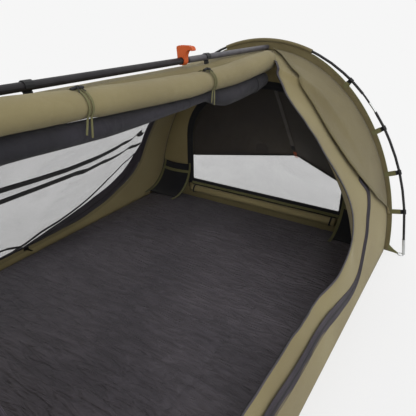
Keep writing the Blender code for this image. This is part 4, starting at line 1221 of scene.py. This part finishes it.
def wallX(y, z, end):
    dent = abs(ripple(y, z, 52.0 + end, (2.8, 2.8))) * wall["dent"]
    return end * (body["wallFace"] + dent)


def makeWall(label, end):
    outer = wallOutline(240)
    middle = np.array((0, 0, wall["middle"]))
    inner = windowLoop(240) if label == "head" else outer * 0.02 + middle * 0.98
    rows = []
    for share in np.linspace(0, 1, 16 if label == "head" else 30):
        ring = inner + (outer - inner) * share
        rows.append([(wallX(y, z, end), y, z) for _, y, z in ring])
    piece = surface(f"{label}Wall", rows, litCanvasInside, wrap=True, facing=(-end, 0, 0))
    if label == "foot":
        closeMiddle(piece, 0.04, 0.04)
    thicken(piece, wall["thickness"], canvasOutside)
    settle(piece, "canvas", f"{label}_wall")


def windowFrames(aside, way):
    # Frames round the window, across pointing away from its middle
    points = windowLoop(300) + np.array((body["wallFace"] + aside, 0, 0))
    stations = framesAlong(points, (way, 0.0, 0.0), closed=True)
    if (stations[0][0] - np.array((0.0, 0.0, wall["middle"]))) @ stations[0][1] < 0:
        stations = [(p, -a, o) for p, a, o in stations]
    return stations


def makeWindow():
    wide, lap, face = window["binding"], window["lap"], body["wallFace"]
    stations = windowFrames(-0.0004, -1.0)
    profile = flatProfile(wide, 0.0016, wide / 2 - lap)
    band = sweep("windowBinding", stations, profile, bindingBlack, closed=True)
    outside = windowFrames(0.0048, 1.0)
    cover = sweep("windowOutsideBinding", outside, flatProfile(0.030, 0.0014), webbingOlive, closed=True)
    rows = [shifted(stations, wide - lap - 0.004, 0.0017), shifted(stations, -lap + 0.004, 0.0017),
            shifted(stations, 0.004, 0.0018)]
    sewn = stitches("windowStitches", [r + [r[0]] for r in rows], threadDark)
    settle(joined("windowBinding", [band, cover]), "dark_cloth")
    settle(sewn, "dark_cloth")
    rows = []
    for share in np.linspace(0.0, 1.0, 14)[1:]:
        rows.append([(face + 0.0016 + 0.004 * bumps(y * 3, z * 3, 2) * (1 - share), y * share,
                      wall["middle"] + (z - wall["middle"]) * share) for _, y, z in windowLoop(160)])
    panel = surface("windowNet", rows, windowNetCloth, wrap=True, facing=(-1, 0, 0))
    closeMiddle(panel, 0.2, 0.12)
    settle(panel, "net", "window_mesh")
    bars = []
    for number, y in enumerate((-0.505, 0.505)):
        path = [(face - 0.010 - 0.003 * math.sin(s * 3), y + 0.004 * s, 0.135 + 0.052 * s)
                for s in np.linspace(0, 1, 9)]
        bars.append(sweep(f"windowToggle{number}", framesAlong(path, (0, 1, 0)), roundProfile(0.0068, 12),
                          plasticBlack, scales=[0.7, 1, 1, 0.85, 0.75, 0.85, 1, 1, 0.7]))
        loop = [(face - 0.002, y, 0.185), (face - 0.012, y, 0.176), (face - 0.020, y, 0.150),
                (face - 0.022, y, 0.110)]
        bars.append(makeCord(f"windowCord{number}", loop, 16, 0.0022, (0, 1, 0)))
    settle(joined("windowToggles", bars), "dark_cloth")


sill = {"radius": 0.0225, "half": 0.48, "height": 0.105, "pitch": 0.00248, "turns": 7.7,
        "start": math.radians(60), "flat": (0.66, 0.96), "area": 0.60}


def makeSillRoll():
    size = sill
    x0 = body["wallFace"] - 0.0003 - size["radius"]
    count = int(size["turns"] * 24)
    rows = []
    for y in np.linspace(-size["half"], size["half"], 90):
        row = []
        for i in range(count + 1):
            wound = 2 * math.pi * size["turns"] * i / count
            angle = size["start"] + wound
            r = size["radius"] - size["pitch"] * wound / (2 * math.pi)
            r *= 1 + 0.05 * bumps(y * 8, math.cos(angle), math.sin(angle) + 4) - 0.02
            row.append((x0 + r * math.cos(angle), y, size["height"] + r * math.sin(angle)))
        rows.append(row)
    facing = lambda p: (p[0] - x0, 0, p[2] - size["height"])
    piece = surface("sillRoll", rows, litCanvasInside, sharp=60, facing=facing)
    thicken(piece, 0.0016)
    settle(piece, "canvas", "window_sill_roll")
    strip = [(body["wallFace"] - 0.0035 - 0.002 * abs(math.sin(y * 9)), y, 0.1385)
             for y in np.linspace(-0.49, 0.49, 80)]
    bands = [sweep("sillStrip", framesAlong(strip, (-1, 0, 0.25)), flatProfile(0.016, 0.0018), webbingOlive)]
    for y in (-0.455, 0.455):
        ring, outs = ringPoints((x0, y, size["height"]), 0.0238, fullTurn(28), (1, 0, 0), (0, 0, 1))
        ring = np.array(ring) + 0.002 * np.sin(2 * fullTurn(28))[:, None] * (0, 1, 0)
        bands.append(sweep("sillTie", framesAlong(ring, outs, closed=True), flatProfile(0.010, 0.0016),
                           bindingBlack, closed=True))
    settle(joined("sillBands", bands), "webbing")


pocket = {"inner": 0.50, "low": 0.86, "high": 0.258, "mouth": 0.0225, "cloth": 0.0018, "base": 0.0830,
          "gap": 0.0055, "sag": 0.004, "tapes": (0.035, 0.93), "flat": (0.25, 0.27), "area": 0.062}


def pocketPoint(turn, share, sign, lift=0.0):
    mouth = pocket["mouth"] * math.sin(math.pi * share)
    reach = body["wallFace"] - 0.0003 - 0.0025 - pocket["low"]
    x = pocket["low"] + (reach - mouth) * math.cos(turn)
    z = pocket["high"] - (pocket["high"] - pocket["base"]) * math.sin(turn)
    outer = body["halfWidth"] * math.sqrt(1 - (z / crownHeight(x)) ** 2) - pocket["gap"]
    sag = pocket["sag"] * math.sin(math.pi * share) * math.sin(2 * turn)
    out = np.array((-math.sin(turn) * 0.6 - 0.4, 0.0, math.cos(turn) * 0.4 + 0.4 * math.sin(turn)))
    point = np.array((x, sign * (pocket["inner"] + (outer - pocket["inner"]) * share), z))
    return point + out * (lift + sag)


def makePocket(label, sign):
    turns = np.radians(np.linspace(0, 90, 26))
    rows = [[pocketPoint(t, s, sign) for t in turns] for s in np.linspace(0, 1, 22)]
    piece = surface(f"{label}Pocket", rows, pocketCloth, facing=(-1, 0, 1))
    thicken(piece, pocket["cloth"])
    settle(piece, "dark_cloth", f"{label}_corner_pocket")
    tapes, rows = [], []
    for share in pocket["tapes"]:
        path = [pocketPoint(t, share, sign, 0.0006) for t in np.radians(np.linspace(-2, 93, 34))]
        tail = [path[-1] + np.array((-0.010, 0.0, 0.0004)) * k for k in (1, 2, 3)]
        stations = framesAlong(path + tail, (-0.7, 0, 0.7))
        tapes.append(sweep("pocketTape", stations, flatProfile(0.016, 0.0018), webbingOlive))
        rows += bothEdges(stations, 0.0058, 0.0020)
    path = [pocketPoint(math.radians(17), s, sign, 0.0016) for s in np.linspace(0.03, 0.95, 24)]
    stations = framesAlong(path, (-0.8, 0, 0.6))
    tapes.append(sweep("pocketCrossTape", stations, flatProfile(0.020, 0.0018), webbingOlive))
    rows += bothEdges(stations, 0.0075, 0.0020)
    settle(joined(f"{label}PocketTapes", tapes), "webbing")
    settle(stitches(f"{label}PocketStitches", rows), "webbing")


makeWall("head", 1)
makeWall("foot", -1)
makeWindow()
makeSillRoll()
makePocket("near", -1)
makePocket("far", 1)
print("end walls and window made")


# Window hood with its strap and loop

hood = {"half": 0.505, "low": 0.32, "rise": 0.61, "out": 0.563, "tip": 0.246, "crease": 0.015, "corner": 0.04,
        "root": 1.0399, "dent": 0.006, "sag": 0.010, "thickness": 0.0022, "flat": (1.35, 0.90), "area": 0.69}


def hoodPoint(turn, share):
    # From the wall, where the hood is sewn on, out to its free edge with the point in its middle
    across = -hood["half"] * math.cos(turn)
    beside = max(0.0, abs(across) - hood["crease"])
    reach = max(1 - beside / (hood["half"] - hood["crease"]), hood["corner"])
    root = np.array((hood["root"], across, hood["low"] + hood["rise"] * math.sin(turn)))
    fall = (hood["tip"] - hood["low"]) * reach
    tip = np.array((hood["root"] + hood["out"] * reach, across, hood["low"] + fall))
    sag = ripple(across, share, 63.0, (3.0, 2.0)) * hood["dent"]
    sag -= hood["sag"] * math.sin(math.pi * share) * (1 - reach)
    fade = ramp(share, 0.0, 0.2) * ramp(1.001 - share, 0.0, 0.25)
    return root + (tip - root) * share + np.array((0.5, 0.0, 0.85)) * min(sag, 0.003) * fade


def makeHood():
    start = math.radians(4)
    turns = np.concatenate((np.linspace(start, 1.50, 40), [1.54, math.pi / 2, math.pi - 1.54],
                            np.linspace(math.pi - 1.50, math.pi - start, 40)))
    rows = [[hoodPoint(t, s) for s in np.linspace(0, 1, 24)] for t in turns]
    piece = surface("windowHood", rows, hoodCanvas, facing=(1, 0, 1), sharp=50)
    thicken(piece, hood["thickness"], hoodShadedUnderside)
    settle(piece, "hood_cloth", "window_hood")
    stations = framesAlong(smoothPath([hoodPoint(t, 1.0) for t in turns], 160), (0.4, 0, 0.9))
    sign = 1.0 if stations[40][1][0] < 0 else -1.0
    binding = sweep("hoodBinding", stations, flatProfile(0.020, 0.0014, sign * 0.008, 0.0003), webbingOlive)
    root = framesAlong([hoodPoint(t, 0.012) for t in turns], (0.3, 0, 1))
    rows = [shifted(stations, sign * 0.015, 0.0018), shifted(stations, sign * 0.004, 0.0018),
            shifted(root, 0.0, 0.001)]
    settle(binding, "hood_cloth")
    settle(stitches("hoodStitches", rows), "hood_cloth")


def makeHoodStrap():
    top, tip = hoodPoint(math.pi / 2, 0.0), hoodPoint(math.pi / 2, 1.0)
    reach = np.linalg.norm(tip - top)
    along = (tip - top) / reach
    inward = np.array((along[2], 0.0, -along[0]))
    path = [top + along * (0.012 + (reach - 0.128) * s) + inward * (0.0045 + 0.002 * math.sin(s * 14) ** 2)
            for s in np.linspace(0, 1, 60)]
    stations = framesAlong(path, inward)
    strap = sweep("hoodStrap", stations, flatProfile(0.024, 0.002), strapGrey)
    sewn = stitches("hoodStrapStitches", bothEdges(stations, 0.009, 0.0022), threadDark)
    path = [path[-1] + along * s + inward * 0.0006 for s in np.linspace(-0.012, 0.030, 10)]
    tab = sweep("hoodStrapEnd", framesAlong(path, inward), flatProfile(0.026, 0.0034), bindingBlack)
    settle(joined("hoodStrap", [strap, tab, sewn]), "grey_webbing", "hood_strap")
    ring, _ = ringPoints(tip + along * 0.0119, 0.010, fullTurn(36), along, (0, 1, 0))
    loop = sweep("hoodLoop", framesAlong(ring, inward, closed=True), roundProfile(0.0016, 10), loopOrange,
                 closed=True)
    path = [tip - along * s + inward * 0.0026 for s in np.linspace(-0.001, 0.050, 12)]
    patch = sweep("hoodLoopPatch", framesAlong(path, inward), flatProfile(0.022, 0.0018), loopOrange)
    settle(joined("hoodLoop", [loop, patch]), "orange_webbing", "hood_guy_loop")


makeHood()
makeHoodStrap()
print("hood made")


# Ridge hook: a snap ring open below, with a broad hooked plate over it

# Each arc is its radius, first and last degrees and count of points
hook = {"place": 0.268, "height": 1.0, "half": 0.013,
        "arcs": [(0.0171, 180, 255, 12), (0.0134, 255, -75, 48), (0.0171, -75, 0, 12)],
        "plate": [(0.0172, 0.012), (0.0190, 0.024), (0.0240, 0.034), (0.0340, 0.0400), (0.0430, 0.0412),
                  (0.0490, 0.0375), (0.0530, 0.0400), (0.0518, 0.0470), (0.0462, 0.0535), (0.0360, 0.0553),
                  (0.0100, 0.0550), (-0.0140, 0.0545), (-0.0195, 0.0520), (-0.0205, 0.0450),
                  (-0.0185, 0.0300), (-0.0172, 0.0150)],
        "rib": [(0.034, 0.0553), (0.020, 0.0552), (0.0, 0.0551), (-0.013, 0.0546)]}


def makeRidgeHook():
    outline = []
    for radius, first, last, count in hook["arcs"]:
        outline += [(radius * math.cos(t), radius * math.sin(t))
                    for t in np.radians(np.linspace(first, last, count))]
    outline += hook["plate"]
    rows = [[(hook["place"] + aside * hook["half"], -a, hook["height"] + b) for a, b in outline]
            for aside in (-1.0, 1.0)]
    piece = surface("ridgeHook", rows, plasticOrange, wrap=True, caps=True)
    bevel(piece, 0.0009, 3)
    ribs = []
    for aside in (-0.6, 0.6):
        x = hook["place"] + aside * hook["half"]
        path = smoothPath([(x, -a, hook["height"] + b + 0.0004) for a, b in hook["rib"]], 12)
        stations = framesAlong(path, (0, 0, 1))
        ribs.append(sweep("ridgeHookRib", stations, roundProfile(0.0009, 8), plasticOrange))
    whole = joined("ridgeHook", [piece, *ribs])
    settle(whole, "orange_plastic", "ridge_hook_collar", bodyName="ridge_hook_collar")


makeRidgeHook()
print("hook made")


# Seam bands at the hoops, with their sleeves, tabs and foot straps

hoop = {"half": 0.834, "height": 1.035, "splay": 0.017, "splayBelow": 0.2}
# The foot strap's places are (how far out, height of its top, height of its base)
seam = {"inner": (0.747, 0.985), "outer": (0.770, 1.029), "thickness": 0.0040, "sleeve": 0.244,
        "wrap": 0.0094, "tab": 0.025, "clips": (0.8377, 0.6348, 0.4348, 0.2396), "reach": 0.0172,
        "strap": ((0.748, 0.064, 0.010), (0.772, 0.046, 0.009), (0.798, 0.026, 0.008),
                  (0.822, 0.0125, 0.0055)),
        "bend": 0.0012, "piping": 0.0030, "sewn": 0.006, "tabSewn": 0.010, "flat": (0.060, 2.86),
        "area": 0.105}


def hoopPoint(turn, end):
    height = hoop["height"] * math.sin(turn)
    splay = math.copysign(hoop["splay"] * max(0.0, 1 - height / hoop["splayBelow"]) ** 2, math.cos(turn))
    return np.array((end * body["planeX"], -(hoop["half"] * math.cos(turn) + splay), height))


def hoopInward(turn, end):
    step = hoopPoint(turn + 0.002, end) - hoopPoint(turn - 0.002, end)
    step = step / np.linalg.norm(step)
    inward = np.array((0.0, step[2], -step[1]))
    return -inward if inward @ (hoopPoint(turn, end) * (0, -1, -1)) < 0 else inward


def onSeam(line, turn, grown=0.0):
    half, height = seam[line]
    return np.array((0.0, -(half + grown) * math.cos(turn), (height + grown) * math.sin(turn)))


def makeSeamBand(label, end, low, cut):
    turns = np.linspace(low, math.pi - low, 200)
    turns = sorted([t for t in turns if min(abs(t - cut), abs(t - math.pi + cut)) > 0.006]
                   + [cut - 0.0004, cut + 0.0004, math.pi - cut - 0.0004, math.pi - cut + 0.0004])
    rows = []
    for t in turns:
        a, b = onSeam("inner", t), onSeam("outer", t)
        if cut < t < math.pi - cut:
            b = hoopPoint(math.acos(-b[1] / hoop["half"]), 1) * (0, 1, 1)
        row = []
        for share in np.linspace(0, 1, 8):
            point = a + (b - a) * share
            bend = seam["bend"] * bumps(point[1] * 9, point[2] * 9, 5.0 + share * 2)
            row.append(point + (end * (body["planeX"] + bend), 0, 0))
        rows.append(row)
    piece = surface(f"{label}Seam", rows, shadedCanvas, facing=(end, 0, 0))
    thicken(piece, seam["thickness"], shadedCanvas, 0.0)
    settle(piece, "webbing", f"{label}_seam_band")
    return rows


def tabStations(turn, end):
    # From the clip on the hoop inwards until well onto the seam band
    centre, inward = hoopPoint(turn, end), hoopInward(turn, end)
    far = 0.03
    while sum((centre + inward * far)[k + 1] ** 2 / seam["outer"][k] ** 2 for k in (0, 1)) > 0.965:
        far += 0.004
    line = [centre + inward * (seam["reach"] + (far - seam["reach"]) * s) for s in np.linspace(0, 1, 8)]
    return framesAlong(line, (end, 0, 0))


def makeSeam(label, end):
    way = (end, 0, 0)
    low = math.asin(0.012 / seam["outer"][1])
    cut = math.acos(seam["sleeve"] / seam["outer"][0])
    band = makeSeamBand(label, end, low, cut)
    parts, rows = [], []
    first = math.acos(seam["sleeve"] / hoop["half"])
    path = [hoopPoint(t, end) for t in np.linspace(first, math.pi - first, 60)]
    parts.append(sweep(f"{label}Sleeve", framesAlong(path, way), roundProfile(seam["wrap"], 22), shadedCanvas))
    for first, last in ((low, cut - 0.004), (math.pi - cut + 0.004, math.pi - low)):
        line = [onSeam("outer", t, 0.001) + (end * body["planeX"], 0, 0)
                for t in np.linspace(first, last, 120)]
        stations = framesAlong(line, way)
        parts.append(sweep(f"{label}Piping", stations, roundProfile(seam["piping"], 10), webbingOlive))
    for number, share in enumerate(seam["clips"]):
        for turn in (math.asin(share), math.pi - math.asin(share)):
            stations = tabStations(turn, end)
            parts.append(sweep(f"{label}Tab{number}", stations, flatProfile(seam["tab"], 0.0056, 0, -0.0028),
                               webbingOlive))
            for lift in (0.0032, -0.0032):
                rows += bothEdges(stations[1:], seam["tabSewn"], lift)
    for flank in (-1, 1):
        strap = [[(end * body["planeX"], flank * y, base + (top - base) * s) for s in np.linspace(0, 1, 6)]
                 for y, top, base in seam["strap"]]
        web = surface(f"{label}FootStrap", strap, webbingOlive, facing=way)
        parts.append(thicken(web, 0.0026, None, 0.0))
    for column, offset in ((0, seam["sewn"]), (-1, -seam["sewn"])):
        stations = framesAlong([row[column] for row in band], way)
        sign = 1.0 if stations[100][1][2] > 0 else -1.0
        rows += [shifted(stations[4:-4], sign * offset, lift) for lift in (0.0023, -0.0023)]
    settle(joined(f"{label}SeamFittings", parts), "webbing")
    settle(stitches(f"{label}SeamStitches", rows), "webbing")


def makeTub():
    low, high = (np.array(corner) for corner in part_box("tub_floor"))
    rows = []
    for x in np.linspace(low[0] + 0.001, high[0] - 0.001, 80):
        rows.append([(x, y, high[2] - 0.0008 - 0.0006 * abs(ripple(x, y, 77.0, (2.5, 2.5))))
                     for y in np.linspace(low[1] + 0.001, high[1] - 0.001, 60)])
    piece = surface("tubFloor", rows, tubCloth, facing=(0, 0, 1))
    thicken(piece, min(0.0030, high[2] - low[2] - 0.001))
    settle(piece, "tub", "tub_floor")


makeSeam("head", 1)
makeSeam("foot", -1)
makeTub()
print("seams and tub made")


# Silver sleeves at the side poles' joints

joint = {"height": 0.77, "length": 0.052, "radius": 0.0049}


def makeJoints(label, end):
    sleeves = []
    low = math.asin((joint["height"] - joint["length"]) / hoop["height"])
    high = math.asin(joint["height"] / hoop["height"])
    profile = roundProfile(joint["radius"], 18)
    for mirrored in (False, True):
        path = [hoopPoint(math.pi - t if mirrored else t, end) for t in np.linspace(low, high, 14)]
        sleeves.append(sweep("jointSleeve", framesAlong(path, (end, 0, 0)), profile, alloySilver))
    settle(joined(f"poleJoints{label}", sleeves), "bare_alloy")


makeJoints("Head", 1)
makeJoints("Foot", -1)


# Finishes of the pieces that keep their CAD shape, with a grey end on the ridge

finishes = {"black_plastic": plasticBlack, "pin_steel": pinSteel, "black_pole": poleBlack,
            "bare_alloy": alloySilver, "black_tube": ridgeBlack, "zip_metal": zipMetal}
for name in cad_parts:
    for holder in bpy.data.objects[name].material_slots:
        holder.material = finishes.get(holder.material.name, holder.material)
for holder in bpy.data.objects["ridge_tube_head"].material_slots:
    holder.material = ridgeEnd
print("finishes set")
